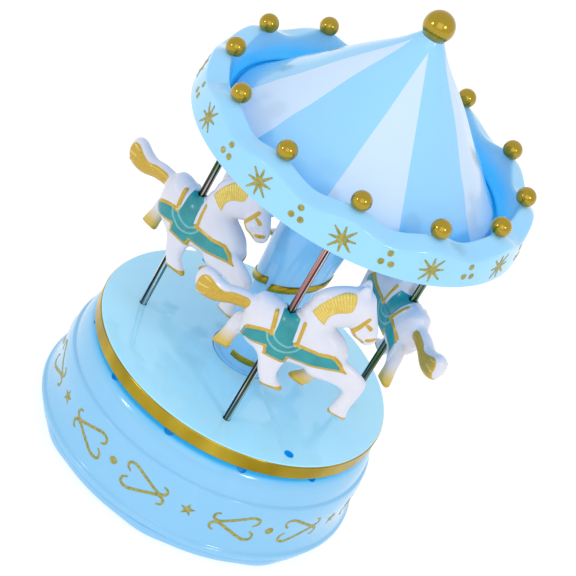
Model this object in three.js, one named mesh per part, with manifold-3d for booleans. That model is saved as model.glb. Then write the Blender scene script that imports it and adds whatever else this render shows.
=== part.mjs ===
// A wind-up carousel music box: a round base that holds an 18-note movement, a turntable with a
// gold rim, four horses on poles round a centre column, and a scalloped canopy with gold balls.
// Millimetres, +Z up. The origin is on the axis, at the table. Azimuth 0 faces -Y, and grows
// towards +X, which is the way the carousel turns.
import * as THREE from "three";
import { mergeVertices } from "three/addons/utils/BufferGeometryUtils.js";
import Module from "manifold-3d";

const wasm = await Module();
wasm.setup();

// ---- Driving dimensions -------------------------------------------------------------------

const GAP = 0.3; // left between pieces that touch
const RUN = 0.5; // left beside a piece that turns
const FACETS = 48; // sides of the large round pieces, a multiple of 24

// base
const TABLE_TO_DECK = 38.7;
const DECK_R = 45; // over the gold rim
const DECK_THICKNESS = 2.2;
const BELLY_OVER = 3; // how far the printed band stands out past the gold rim
const BELLY_R = DECK_R + BELLY_OVER;
const BEAD_OVER = 1.8; // how far the widest ring, low on the housing, stands out past the band
const BEAD_R = BELLY_R + BEAD_OVER;
const NECK_INSET = 2.6; // from the outside of the gold rim in to the neck under it
const NECK_R = DECK_R - NECK_INSET;
const HOUSING_WALL = 1.8;
const FOOT_HEIGHT = 4.7;
const FOOT_INSET = 1.6; // from the widest ring in to the foot
const FOOT_R = BEAD_R - FOOT_INSET;
const FOOT_LOBES = 8;
const FOOT_LOBE_DEPTH = 0.7;
const FOOT_PLATE = 1.8;
const BEAD_HEIGHT = 1.5;
const SHOULDER_Z = 24.4; // step between the printed band and the shoulder
const DECK_CLEARANCE = 1.5;
const ROOF_Z = TABLE_TO_DECK - DECK_THICKNESS - DECK_CLEARANCE; // top face of the housing
const VENTS = 12;
const VENT_R = 1.6;
const VENT_START = -9.5; // degrees
const PAD_R = 3.4;
const PAD_HEIGHT = 0.9;
const PADS = 3; // round the edge, besides the one in the middle

// turntable
const RIM_HEIGHT = 5;
const RIM_WALL = 0.9;
const HUB_R = 5;
const HUB_LENGTH = 9.5;
const FLANGE_R = 10.2;
const FLANGE_DEPTH = 1.1;
const STOPPER_HOLE_R = 1.45;
const STOPPER_INSET = 4.6; // from the outside of the gold rim in to each hole
const STOPPER_HOLE_AT = DECK_R - STOPPER_INSET;
const STOPPER_HOLE_AZ = 37;

// poles and horses
const POLES = 4;
const POLE_R = 1.05;
const POLE_CIRCLE = 33;
const POLE_AZ = 7.9;
const HORSE_THICKNESS = 8;
const LEG_THICKNESS = 2.8;
const HORSE_TURN = [0, 28, 0, 60]; // each horse's turn inwards on its pole, in degrees
const HORSE_NAMES = ["front", "right", "back", "left"];

// column
const COLUMN_FOOT_R = 8.7;
const COLUMN_TOP_R = 10.5;
const COLUMN_WALL = 1.5;
const FOOT_RING_LIFT = 1.4; // above the deck
const FOOT_RING_HEIGHT = 2.3;
const FOOT_RING_SPLIT_AZ = -33; // middle of the gap where the ring's ends meet

// canopy
const CEILING_Z = 71.7; // above the deck
const CEILING_THICKNESS = 1.8;
const FASCIA_LOW_R = 49.7;
const FASCIA_HIGH_R = 48.6;
const FASCIA_HEIGHT = 8.8;
const CROWN_TOP_R = 43.4;
const CROWN_RISE = 1.9; // from the crease to the middle of the scalloped edge
const SCALLOP = 1.3; // half the height of the scallops
const CROWN_WALL = 1.5;
const CONE_FOOT_R = 40;
const CONE_HEIGHT = 41;
const CONE_WALL = 1.4;
const BALLS = 12;
const BALL_R = 2.8;
const BALL_CIRCLE = 43.9;
const BALL_AZ = 7.3;
const FINIAL_R = 4.4;
const FINIAL_SEAT = 1.3; // how far the ball sinks on to the tip of the roof

// movement
const BEDPLATE_Z = 10;
const BEDPLATE_THICKNESS = 2.2;
const BEDPLATE_R = 42;
const BEDPLATE_WIDTH = 60;
const POSTS = [
  [-60, 31],
  [20, 26],
  [125, 30],
  [-150, 27],
]; // azimuth and radius of each
const BARREL_R = 10.2;
const BARREL_HEIGHT = 11;
const CROWN_MODULE = 0.9;
const CROWN_FACE = 2.6;
const CYLINDER_STUB = 3.2; // the cylinder's shaft, inwards from the crown's pitch circle
const CROWN_TEETH = Math.ceil((2 * (BARREL_R + RUN + CYLINDER_STUB)) / CROWN_MODULE);
const SPUR_MODULE = 0.75;
const SPUR_FACE = 2;
const FLANGE_MARGIN = 2.4; // from the crown's pitch circle out to the spur's
const SPUR_TEETH = Math.ceil((CROWN_MODULE * CROWN_TEETH + 2 * FLANGE_MARGIN) / SPUR_MODULE);
const CYLINDER_TEETH = 16;
const CYLINDER_R = 6.2;
const CYLINDER_LENGTH = 18;
const PIN_HEIGHT = 0.55;
const NOTES = 18;
const PINION_TEETH = 16;
const WORM_WHEEL_TEETH = 20;
const WORM_MODULE = 0.8;
const WORM_R = 2.2;
const FAN_R = 6;
const ARBOR_R = 1.6;
const SHAFT_R = 0.8;
const RATCHET_TEETH = 16;
const RATCHET_R = 6.5;
const SCREW_R = 1.2;
const SCREW_HEAD_R = 2.4;

// ---- Finishes -----------------------------------------------------------------------------

const finish = (color, roughness, metalness) =>
  new THREE.MeshStandardMaterial({ color, roughness, metalness });
const FINISHES = {
  blue: finish(0x9bd4fa, 0.25, 0),
  striped: finish(0xbfe0fb, 0.25, 0),
  goldRim: finish(0xc8aa3c, 0.3, 1),
  goldBall: finish(0xbe9b1e, 0.2, 0.3),
  chrome: finish(0xc8c8cc, 0.12, 1),
  horse: finish(0xebebf5, 0.35, 0),
  brass: finish(0xb89a55, 0.3, 1),
  steel: finish(0x9a9da2, 0.3, 1),
  zinc: finish(0x8d9094, 0.5, 1),
  nylon: finish(0xe8e4d8, 0.5, 0),
  rubber: finish(0x303236, 0.9, 0),
};

// ---- Helpers ------------------------------------------------------------------------------

const DEG = Math.PI / 180;
const carousel = new THREE.Group();

// A closed three.js geometry as a manifold solid.
function solid(geometry) {
  const bare = geometry.clone();
  bare.deleteAttribute("normal");
  bare.deleteAttribute("uv");
  const merged = mergeVertices(bare, 1e-4);
  const mesh = new wasm.Mesh({
    numProp: 3,
    vertProperties: new Float32Array(merged.attributes.position.array),
    triVerts: new Uint32Array(merged.index.array),
  });
  return new wasm.Manifold(mesh);
}

// A manifold solid as a three.js geometry.
function geometryOf(made) {
  const mesh = made.getMesh();
  const points = new Float32Array(mesh.numVert * 3);
  for (let i = 0; i < mesh.numVert; i++) {
    const start = i * mesh.numProp;
    points.set(mesh.vertProperties.subarray(start, start + 3), i * 3);
  }
  const geometry = new THREE.BufferGeometry();
  geometry.setAttribute("position", new THREE.BufferAttribute(points, 3));
  geometry.setIndex(new THREE.BufferAttribute(new Uint32Array(mesh.triVerts), 1));
  geometry.computeVertexNormals();
  return geometry;
}

const joined = (first, ...rest) =>
  geometryOf(rest.reduce((sum, part) => sum.add(solid(part)), solid(first)));

const cut = (body, ...tools) =>
  geometryOf(tools.reduce((left, tool) => left.subtract(solid(tool)), solid(body)));

function piece(name, geometry, material) {
  const mesh = new THREE.Mesh(geometry, FINISHES[material]);
  mesh.name = name;
  carousel.add(mesh);
  return mesh;
}

// A point at a radius and azimuth.
const polar = (radius, azimuth, z = 0) =>
  new THREE.Vector3(
    radius * Math.sin(azimuth * DEG),
    -radius * Math.cos(azimuth * DEG),
    z,
  );

// A closed profile of [radius, height] points, turned about Z.
function turned(points, segments) {
  const loop = points.map(([r, z]) => new THREE.Vector2(r, z));
  if (points[0][0] > 0) loop.push(loop[0].clone());
  return new THREE.LatheGeometry(loop, segments).rotateX(Math.PI / 2);
}

// A round bar along Z between two heights.
const bar = (radius, low, high, segments = 20) =>
  new THREE.CylinderGeometry(radius, radius, high - low, segments)
    .rotateX(Math.PI / 2)
    .translate(0, 0, (low + high) / 2);

const ring = (outer, inner, low, high, segments = 48) =>
  turned(
    [
      [inner, low],
      [outer, low],
      [outer, high],
      [inner, high],
    ],
    segments,
  );

const block = (x, y, z, at) =>
  new THREE.BoxGeometry(x, y, z).translate(at[0], at[1], at[2]);

// A flat shape through the given points, extruded along Z between two heights.
function slab(points, low, high, options = {}) {
  const shape = new THREE.Shape(points.map(([x, y]) => new THREE.Vector2(x, y)));
  const depth = high - low;
  const made = new THREE.ExtrudeGeometry(shape, { depth, bevelEnabled: false, ...options });
  return made.translate(0, 0, low);
}

// The outline of a spur gear with straight-sided teeth, one tooth centred on +X.
function gearOutline(module, teeth) {
  const pitch = (module * teeth) / 2;
  const root = pitch - 1.1 * module;
  const tip = pitch + 0.75 * module;
  const step = (2 * Math.PI) / teeth;
  const points = [];
  for (let i = 0; i < teeth; i++) {
    const corners = [
      [root, -0.3],
      [tip, -0.13],
      [tip, 0.13],
      [root, 0.3],
    ];
    for (const [radius, share] of corners) {
      const angle = (i + share) * step;
      points.push([radius * Math.cos(angle), radius * Math.sin(angle)]);
    }
  }
  return points;
}

const spurGear = (module, teeth, low, high, turn = 0) =>
  slab(gearOutline(module, teeth), low, high).rotateZ(turn);

// A cheese-head screw along Z: the head is above the thread.
function screw(x, y, headZ, length) {
  const head = bar(SCREW_HEAD_R, headZ, headZ + 1.2, 16);
  const shank = bar(SCREW_R, headZ - length, headZ + 0.1, 12);
  const slot = block(SCREW_HEAD_R * 2.2, 0.6, 0.6, [0, 0, headZ + 1.1]);
  return geometryOf(solid(head).add(solid(shank)).subtract(solid(slot))).translate(x, y, 0);
}

// ---- Heights worked out from the driving dimensions ---------------------------------------

const deckZ = TABLE_TO_DECK;
const deckUnder = deckZ - DECK_THICKNESS;
const ceilingZ = deckZ + CEILING_Z;
const fasciaTop = ceilingZ + FASCIA_HEIGHT;
const crownTop = fasciaTop + CROWN_RISE;
const housingLow = FOOT_HEIGHT + GAP;
const rimLow = deckZ - RIM_HEIGHT;
const deckEdge = DECK_R - RIM_WALL - GAP;
const bedTop = BEDPLATE_Z + BEDPLATE_THICKNESS;
const coneFoot = ceilingZ + CEILING_THICKNESS + GAP;

// ---- Base ---------------------------------------------------------------------------------

// Outer line of the housing from the bead up to the neck.
const housingOuter = () => [
  [BEAD_R - 0.8, housingLow],
  [BEAD_R, housingLow + BEAD_HEIGHT * 0.6],
  [BELLY_R + 0.7, housingLow + 3.8],
  [BELLY_R - 0.1, housingLow + 8.5],
  [BELLY_R, housingLow + 14.5],
  [BELLY_R - 0.6, SHOULDER_Z - 0.3],
  [BELLY_R - 1.2, SHOULDER_Z + 1.8],
  [BELLY_R - 2.4, SHOULDER_Z + 5.5],
  [BELLY_R - 4, SHOULDER_Z + 7.2],
  [NECK_R, SHOULDER_Z + 7.9],
  [NECK_R, ROOF_Z],
];

const postSpots = () => POSTS.map(([azimuth, radius]) => polar(radius, azimuth));

function baseHousing() {
  const outer = housingOuter();
  const wall = HOUSING_WALL;
  const inner = [
    [HUB_R + 3 + GAP, ROOF_Z],
    [HUB_R + 3 + GAP, ROOF_Z - wall],
    [NECK_R - wall, ROOF_Z - wall],
    [NECK_R - wall, SHOULDER_Z + 6.6],
    [BELLY_R - 1.6 - wall, SHOULDER_Z + 1],
    [BELLY_R - 0.3 - wall, housingLow + 8.5],
    [BEAD_R - 1 - wall, housingLow],
  ];
  let body = solid(turned([...outer, ...inner], FACETS));
  for (const spot of postSpots()) {
    const post = bar(3, bedTop + GAP, ROOF_Z - wall + 0.3, 16).translate(spot.x, spot.y, 0);
    const pilot = bar(SCREW_R + GAP, bedTop - 1, bedTop + 9, 12).translate(spot.x, spot.y, 0);
    body = body.add(solid(post)).subtract(solid(pilot));
  }
  for (let i = 0; i < VENTS; i++) {
    const azimuth = VENT_START + (i * 360) / VENTS;
    const vent = bar(VENT_R, -5, 5, 8).rotateX(48 * DEG).rotateZ(azimuth * DEG);
    const spot = polar(NECK_R + 0.9, azimuth, SHOULDER_Z + 7.6);
    body = body.subtract(solid(vent.translate(spot.x, spot.y, spot.z)));
  }
  piece("base_housing", geometryOf(body), "blue");
}

// The bottom cover: gripped to wind the spring, because the arbor is fixed in it.
function windingFoot() {
  const outline = [];
  const steps = FOOT_LOBES * 8;
  for (let i = 0; i < steps; i++) {
    const angle = (i / steps) * 2 * Math.PI;
    const radius = FOOT_R + FOOT_LOBE_DEPTH * Math.max(0, Math.cos(FOOT_LOBES * angle)) ** 2;
    outline.push([radius * Math.cos(angle), radius * Math.sin(angle)]);
  }
  const body = slab(outline, PAD_HEIGHT, FOOT_HEIGHT);
  const hollow = bar(FOOT_R - 2.2, PAD_HEIGHT + FOOT_PLATE, FOOT_HEIGHT + 1, FACETS);
  const boss = bar(6, PAD_HEIGHT + 0.5, FOOT_HEIGHT + 1.6, 32);
  const socket = bar(ARBOR_R + GAP, PAD_HEIGHT + 1.5, FOOT_HEIGHT + 4, 20);
  let made = solid(body).subtract(solid(hollow)).add(solid(boss)).subtract(solid(socket));
  const spots = [polar(0, 0)];
  for (let i = 0; i < PADS; i++) spots.push(polar(FOOT_R * 0.78, 60 + (i * 360) / PADS));
  for (const [i, spot] of spots.entries()) {
    const recess = bar(PAD_R + GAP, PAD_HEIGHT - 1, PAD_HEIGHT + 0.6, 24);
    made = made.subtract(solid(recess.translate(spot.x, spot.y, 0)));
    const pad = bar(PAD_R, 0, PAD_HEIGHT + GAP, 24).translate(spot.x, spot.y, 0);
    piece(i ? `foot_pad_${i}` : "foot_pad_centre", pad, "rubber");
  }
  piece("winding_foot", geometryOf(made), "blue");
}

// ---- Turntable ----------------------------------------------------------------------------

function turntable() {
  const body = bar(deckEdge, deckUnder, deckZ, FACETS);
  const hub = bar(HUB_R, deckUnder - HUB_LENGTH, deckUnder + 0.2, 32);
  const lug = ring(NECK_R + 0.4, NECK_R - 1, deckUnder - 0.9, deckUnder + 0.2, FACETS);
  const seat = bar(FLANGE_R + GAP, deckZ - FLANGE_DEPTH - GAP, deckZ + 1, 48);
  const drive = block(4.6, 4.6, 8, [0, 0, deckUnder - HUB_LENGTH + 3.6]);
  const screwWay = bar(SCREW_R + GAP, deckUnder - 3, deckZ, 12);
  let made = solid(body).add(solid(hub)).add(solid(lug));
  made = made.subtract(solid(seat)).subtract(solid(drive)).subtract(solid(screwWay));
  for (let i = 0; i < POLES; i++) {
    const spot = polar(POLE_CIRCLE, POLE_AZ + (i * 360) / POLES);
    const hole = bar(POLE_R + GAP, deckUnder + 0.6, deckZ + 1, 20);
    made = made.subtract(solid(hole.translate(spot.x, spot.y, 0)));
  }
  for (const azimuth of [STOPPER_HOLE_AZ, STOPPER_HOLE_AZ + 180]) {
    const spot = polar(STOPPER_HOLE_AT, azimuth);
    const hole = bar(STOPPER_HOLE_R, deckUnder - 1, deckZ + 1, 16);
    made = made.subtract(solid(hole.translate(spot.x, spot.y, 0)));
  }
  piece("turntable_deck", geometryOf(made), "blue");
}

function deckRim() {
  const inner = DECK_R - RIM_WALL;
  const profile = [
    [inner, rimLow],
    [DECK_R - 0.3, rimLow],
    [DECK_R, rimLow + 0.4],
    [DECK_R, deckZ - 0.5],
    [DECK_R - 0.25, deckZ - 0.05],
    [inner, deckZ],
  ];
  piece("deck_rim", turned(profile, FACETS), "goldRim");
}

function deckBush() {
  const profile = [
    [HUB_R + RUN, ROOF_Z - HOUSING_WALL - 3],
    [HUB_R + 3, ROOF_Z - HOUSING_WALL - 3],
    [HUB_R + 3, ROOF_Z + GAP],
    [HUB_R + 4.5, ROOF_Z + GAP],
    [HUB_R + 4.5, ROOF_Z + GAP + 0.7],
    [HUB_R + RUN, ROOF_Z + GAP + 0.7],
  ];
  piece("deck_bush", turned(profile, 24), "nylon");
}

// ---- Column -------------------------------------------------------------------------------

const columnTop = ceilingZ - GAP;
const flangeZ = deckZ - FLANGE_DEPTH;
const drapeZ = deckZ + 24; // where the column grows to its drum
const footRingLow = deckZ + FOOT_RING_LIFT;
const footRingTop = footRingLow + FOOT_RING_HEIGHT;

function centreColumn() {
  const neck = COLUMN_FOOT_R - 1;
  const outer = [
    [FLANGE_R, flangeZ],
    [FLANGE_R, deckZ],
    [neck, deckZ],
    [neck, footRingTop + GAP],
    [COLUMN_FOOT_R, footRingTop + GAP],
    [COLUMN_FOOT_R + 0.4, drapeZ],
    [COLUMN_TOP_R - 0.9, drapeZ + 6],
    [COLUMN_TOP_R, columnTop],
  ];
  const inner = [
    [SCREW_R + GAP, columnTop],
    [SCREW_R + GAP, columnTop - 3],
    [COLUMN_TOP_R - COLUMN_WALL, columnTop - 3],
    [COLUMN_FOOT_R - COLUMN_WALL, drapeZ],
    [neck - COLUMN_WALL, deckZ],
    [neck - COLUMN_WALL, flangeZ + 1],
    [SCREW_R + GAP, flangeZ + 1],
    [SCREW_R + GAP, flangeZ],
  ];
  piece("centre_column", turned([...outer, ...inner], 24), "blue");
}

// A gold strip bent round the column's neck, with a gap between its ends.
function columnFootRing() {
  const inner = COLUMN_FOOT_R - 1 + GAP;
  const outer = COLUMN_FOOT_R + 0.1;
  const profile = [
    [inner, footRingLow],
    [outer, footRingLow + 0.2],
    [outer, footRingTop - 0.2],
    [inner, footRingTop],
  ];
  const middleZ = (footRingLow + footRingTop) / 2;
  const split = block(2, COLUMN_FOOT_R, FOOT_RING_HEIGHT + 1, [0, -COLUMN_FOOT_R, middleZ]);
  const strip = cut(turned(profile, 24), split.rotateZ(FOOT_RING_SPLIT_AZ * DEG));
  piece("column_foot_ring", strip, "goldRim");
}

// ---- Canopy -------------------------------------------------------------------------------

function canopyCeiling() {
  const low = ceilingZ;
  const high = ceilingZ + CEILING_THICKNESS;
  let made = solid(bar(FASCIA_LOW_R - CROWN_WALL - GAP, low, high, FACETS));
  made = made.subtract(solid(bar(SCREW_R + GAP, low - 1, high + 1, 12)));
  for (let i = 0; i < POLES; i++) {
    const spot = polar(POLE_CIRCLE, POLE_AZ + (i * 360) / POLES);
    const hole = bar(POLE_R + GAP, low - 1, high - 0.5, 20);
    made = made.subtract(solid(hole.translate(spot.x, spot.y, 0)));
  }
  piece("canopy_ceiling", geometryOf(made), "blue");
}

// The band and the scalloped crown above it: the top edge and the crease rise under each ball.
function canopyFascia() {
  const wall = CROWN_WALL;
  const gutterZ = coneFoot + 1.5;
  const rows = [
    [FASCIA_LOW_R - wall, ceilingZ, 0],
    [FASCIA_LOW_R, ceilingZ, 0],
    [FASCIA_LOW_R - 0.1, ceilingZ + 1, 0],
    [FASCIA_HIGH_R + 0.3, fasciaTop - 2, 0.2],
    [FASCIA_HIGH_R, fasciaTop, 0.6],
    [FASCIA_HIGH_R - 1.6, fasciaTop + 0.9, 0.7],
    [CROWN_TOP_R + 1.2, crownTop - 0.5, 1],
    [CROWN_TOP_R, crownTop, 1],
    [CROWN_TOP_R - wall * 0.6, crownTop - 0.3, 1],
    [CROWN_TOP_R - wall - 0.3, crownTop - 2.2, 0.6],
    [CONE_FOOT_R + GAP + 0.6, gutterZ + 1.4, 0],
    [CONE_FOOT_R + GAP, gutterZ, 0],
    [FASCIA_LOW_R - wall, gutterZ, 0],
  ];
  const geometry = turned(
    rows.map(([r, z]) => [r, z]),
    1.5 * FACETS,
  );
  const places = geometry.attributes.position;
  for (let i = 0; i < places.count; i++) {
    const x = places.getX(i);
    const y = places.getY(i);
    const wave = rows[i % (rows.length + 1)] ?? rows[0];
    const azimuth = Math.atan2(x, -y);
    const lift = SCALLOP * wave[2] * Math.cos(BALLS * (azimuth - BALL_AZ * DEG));
    places.setZ(i, places.getZ(i) + lift);
  }
  piece("canopy_fascia", geometry, "blue");
}

// Outer line of the roof: steep and rounded at its foot, then a straight cone.
const coneOuter = () => [
  [CONE_FOOT_R, coneFoot],
  [CONE_FOOT_R * 0.98, coneFoot + CONE_HEIGHT * 0.04],
  [CONE_FOOT_R * 0.92, coneFoot + CONE_HEIGHT * 0.1],
  [CONE_FOOT_R * 0.75, coneFoot + CONE_HEIGHT * 0.29],
  [CONE_FOOT_R * 0.33, coneFoot + CONE_HEIGHT * 0.72],
  [CONE_FOOT_R * 0.13, coneFoot + CONE_HEIGHT * 0.935],
  [CONE_FOOT_R * 0.08, coneFoot + CONE_HEIGHT],
];

function coneRoof() {
  const outer = coneOuter();
  const inner = outer
    .slice(1, -1)
    .reverse()
    .map(([r, z]) => [r - CONE_WALL * 1.2, z - CONE_WALL * 0.4]);
  const top = outer[outer.length - 1][1];
  const bore = 1.2 + GAP;
  const seat = [
    [bore, top],
    [bore, inner[0][1] + 0.5],
  ];
  const profile = [...outer, ...seat, ...inner, [CONE_FOOT_R - CONE_WALL, coneFoot]];
  piece("cone_roof", turned(profile, FACETS), "striped");
}

const finialZ = coneFoot + CONE_HEIGHT + FINIAL_R - FINIAL_SEAT;

function finial() {
  const ball = new THREE.SphereGeometry(FINIAL_R, 18, 10).rotateX(Math.PI / 2);
  const foot = finialZ - FINIAL_R;
  const flat = bar(4, foot - 2, coneFoot + CONE_HEIGHT + GAP, 20);
  const stem = bar(1.2, foot - 3, finialZ - 1, 12);
  const made = solid(ball.translate(0, 0, finialZ)).subtract(solid(flat)).add(solid(stem));
  piece("finial_ball", geometryOf(made), "goldBall");
}

// Each ball sits on a crest of the crown, with a flat cut where it meets it.
function crownBalls() {
  const crest = crownTop + SCALLOP;
  for (let i = 0; i < BALLS; i++) {
    const spot = polar(BALL_CIRCLE, BALL_AZ + (i * 360) / BALLS, crest + GAP + BALL_R * 0.62);
    const ball = new THREE.SphereGeometry(BALL_R, 12, 7).rotateX(Math.PI / 2);
    const flat = block(8, 8, 4, [0, 0, -BALL_R * 0.62 - 2]);
    const made = cut(ball, flat).translate(spot.x, spot.y, spot.z);
    piece(`crown_ball_${i + 1}`, made, "goldBall");
  }
}

// ---- Poles and horses ---------------------------------------------------------------------

// Side views, forward along X and up from the deck.
const BODY_LINE = [
  [-8.6, 41.2],
  [-9.9, 37],
  [-9.7, 30],
  [-6.5, 26],
  [0, 23.6],
  [9, 22.9],
  [18.5, 24.2],
  [21.6, 30],
  [20.4, 35.5],
  [14, 41.5],
  [16.8, 43],
  [21, 40.6],
  [24.2, 43],
  [22.4, 48],
  [18.9, 54],
  [15.4, 59.6],
  [12.6, 55.8],
  [6.8, 53.4],
  [4, 47],
  [3.2, 42.6],
  [-3, 41.4],
  [-6, 43],
];
const TAIL_LINE = [
  [-7.5, 39.8],
  [-12, 38.4],
  [-17, 37.6],
  [-21, 39.6],
  [-25.2, 40.8],
  [-26.2, 38],
  [-25, 34.6],
  [-20, 32.8],
  [-14, 33.6],
  [-8, 35.4],
];
const NEAR_HIND_LINE = [
  [-5.5, 28],
  [4, 25],
  [4.2, 21],
  [8.2, 16],
  [2.6, 16.6],
  [0.6, 21],
];
const NEAR_FORE_LINE = [
  [15, 26],
  [21, 30.5],
  [27.2, 29.4],
  [26.8, 16.2],
  [22, 17],
  [22.6, 25.4],
];
const FAR_HIND_LINE = [
  [-9.3, 31],
  [-4, 27],
  [-8.4, 21.2],
  [-13, 20.2],
  [-12.2, 23.4],
];
const FAR_FORE_LINE = [
  [9, 25.6],
  [15.5, 27.5],
  [16.2, 25],
  [13.5, 20.8],
  [9.2, 21.4],
];

// One extruded side view, standing up along X, with its thickness centred on y.
function sideSlab(line, thickness, y, bevel) {
  const clockwise = THREE.ShapeUtils.isClockWise(line.map(([a, b]) => new THREE.Vector2(a, b)));
  const points = clockwise ? [...line].reverse() : line;
  const made = slab(points, bevel, thickness - bevel, {
    bevelEnabled: bevel > 0,
    bevelThickness: bevel,
    bevelSize: bevel,
    bevelOffset: -bevel,
    bevelSegments: 1,
  });
  return made.translate(0, 0, -thickness / 2).rotateX(Math.PI / 2).translate(0, y, 0);
}

function horseGeometry() {
  const side = HORSE_THICKNESS / 2 - LEG_THICKNESS / 2;
  const made = joined(
    sideSlab(BODY_LINE, HORSE_THICKNESS, 0, 1.6),
    sideSlab(TAIL_LINE, LEG_THICKNESS, 0, 0.7),
    sideSlab(NEAR_HIND_LINE, LEG_THICKNESS, -side, 0.5),
    sideSlab(NEAR_FORE_LINE, LEG_THICKNESS, -side, 0.5),
    sideSlab(FAR_HIND_LINE, LEG_THICKNESS, side, 0.5),
    sideSlab(FAR_FORE_LINE, LEG_THICKNESS, side, 0.5),
  );
  return cut(made, bar(POLE_R + GAP, 10, 60, 16));
}

function horsesAndPoles() {
  const horse = horseGeometry();
  for (let i = 0; i < POLES; i++) {
    const azimuth = POLE_AZ + (i * 360) / POLES;
    const spot = polar(POLE_CIRCLE, azimuth);
    const pole = bar(POLE_R, deckUnder + 0.6 + GAP, ceilingZ + CEILING_THICKNESS - 0.5 - GAP, 16);
    piece(`pole_${HORSE_NAMES[i]}`, pole.translate(spot.x, spot.y, 0), "chrome");
    const turn = (azimuth + HORSE_TURN[i]) * DEG;
    const placed = horse.clone().rotateZ(turn).translate(spot.x, spot.y, deckZ);
    piece(`horse_${HORSE_NAMES[i]}`, placed, "horse");
  }
}

// ---- Movement -----------------------------------------------------------------------------

const flangeLow = bedTop + 0.6;
const flangeHigh = flangeLow + SPUR_FACE;
const crownPitchR = (CROWN_MODULE * CROWN_TEETH) / 2;
const crownHeight = 1.9;
const cylinderPitchR = (CROWN_MODULE * CYLINDER_TEETH) / 2;
const cylinderAxisZ = flangeHigh + crownHeight - 0.65 * CROWN_MODULE + cylinderPitchR;
const spurPitchR = (SPUR_MODULE * SPUR_TEETH) / 2;
const pinionPitchR = (SPUR_MODULE * PINION_TEETH) / 2;
const wheelX = -(spurPitchR + pinionPitchR + 0.1);
const wheelPitchR = (WORM_MODULE * WORM_WHEEL_TEETH) / 2;
const wormX = wheelX - wheelPitchR - WORM_R - 0.5;
const wormZ = flangeHigh + 4.2;
const bracketIn = spurPitchR + SPUR_MODULE + 0.6;
const bracketWall = 1.2;
const cylinderStart = bracketIn + bracketWall + RUN;
const bracketOut = cylinderStart + CYLINDER_LENGTH + RUN;

// The plate that carries the movement, with the two cheeks that hold the cylinder's shaft.
function bedplate() {
  const middleZ = BEDPLATE_Z + BEDPLATE_THICKNESS / 2;
  const strip = block(2 * BEDPLATE_R, BEDPLATE_WIDTH, BEDPLATE_THICKNESS, [0, 0, middleZ]);
  const cheekHeight = cylinderAxisZ + 3 - bedTop;
  let made = solid(bar(BEDPLATE_R, BEDPLATE_Z, bedTop, 48)).intersect(solid(strip));
  for (const x of [bracketIn, bracketOut]) {
    const middle = x + bracketWall / 2;
    const cheek = block(bracketWall, 7, cheekHeight + 0.4, [
      middle,
      0,
      bedTop + cheekHeight / 2 - 0.2,
    ]);
    const hole = bar(SHAFT_R + 0.15, -3, 3, 16).rotateY(Math.PI / 2);
    made = made.add(solid(cheek)).subtract(solid(hole.translate(middle, 0, cylinderAxisZ)));
  }
  made = made.subtract(solid(bar(ARBOR_R + GAP, BEDPLATE_Z - 1, bedTop + 1, 20)));
  made = made.subtract(solid(bar(SHAFT_R + 0.15, BEDPLATE_Z - 1, bedTop + 1, 16).translate(wheelX, 0, 0)));
  for (const spot of postSpots()) {
    const hole = bar(SCREW_R + GAP, BEDPLATE_Z - 1, bedTop + 1, 12).translate(spot.x, spot.y, 0);
    made = made.subtract(solid(hole));
  }
  piece("movement_bedplate", geometryOf(made), "zinc");
  postSpots().forEach((spot, i) => {
    const head = screw(0, 0, 0, 8).rotateX(Math.PI).translate(spot.x, spot.y, BEDPLATE_Z - GAP);
    piece(`bedplate_screw_${i + 1}`, head, "steel");
  });
}

// The mainspring's drum, with the spur teeth that drive the governor and the crown teeth that
// drive the cylinder. Its square spigot turns the turntable.
function springBarrel() {
  const drumTop = flangeLow + BARREL_HEIGHT;
  let made = solid(spurGear(SPUR_MODULE, SPUR_TEETH, flangeLow, flangeHigh));
  made = made.add(solid(bar(BARREL_R, flangeLow, drumTop, 40)));
  for (let i = 0; i < CROWN_TEETH; i++) {
    const angle = ((i + 0.5) * 2 * Math.PI) / CROWN_TEETH;
    const half = CROWN_MODULE * 0.5;
    const tooth = slab(
      [
        [-half, 0],
        [half, 0],
        [half * 0.42, crownHeight + 0.2],
        [-half * 0.42, crownHeight + 0.2],
      ],
      -CROWN_FACE / 2,
      CROWN_FACE / 2,
    );
    tooth.rotateX(Math.PI / 2).rotateZ(Math.PI / 2);
    tooth.translate(crownPitchR - 1.2, 0, flangeHigh - 0.2).rotateZ(angle);
    made = made.add(solid(tooth));
  }
  const spigotTop = deckUnder - HUB_LENGTH + 6.5;
  const spigot = block(4, 4, spigotTop - drumTop + 0.4, [0, 0, (spigotTop + drumTop) / 2 - 0.2]);
  const bore = bar(ARBOR_R + GAP, flangeLow - 1, drumTop - 2, 20);
  const hollow = ring(BARREL_R - 1.4, ARBOR_R + 2.2, flangeLow - 1, drumTop - 1.6, 32);
  made = made.add(solid(spigot)).subtract(solid(bore)).subtract(solid(hollow));
  piece("spring_barrel", geometryOf(made), "brass");
}

// The mainspring: a flat strip wound in a spiral inside the barrel.
function mainspring() {
  const inner = ARBOR_R + 2.2 + GAP + 0.2;
  const outer = BARREL_R - 1.4 - GAP - 0.3;
  const turns = 3;
  const thickness = 0.35;
  const steps = 20 * turns;
  const near = [];
  const far = [];
  for (let i = 0; i <= steps; i++) {
    const share = i / steps;
    const angle = share * turns * 2 * Math.PI;
    const radius = inner + (outer - inner) * share;
    near.push([(radius - thickness / 2) * Math.cos(angle), (radius - thickness / 2) * Math.sin(angle)]);
    far.push([(radius + thickness / 2) * Math.cos(angle), (radius + thickness / 2) * Math.sin(angle)]);
  }
  const low = flangeLow + 0.5;
  const strip = slab([...far, ...near.reverse()], low, flangeLow + BARREL_HEIGHT - 1.6 - GAP);
  piece("mainspring", strip, "steel");
}

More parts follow.
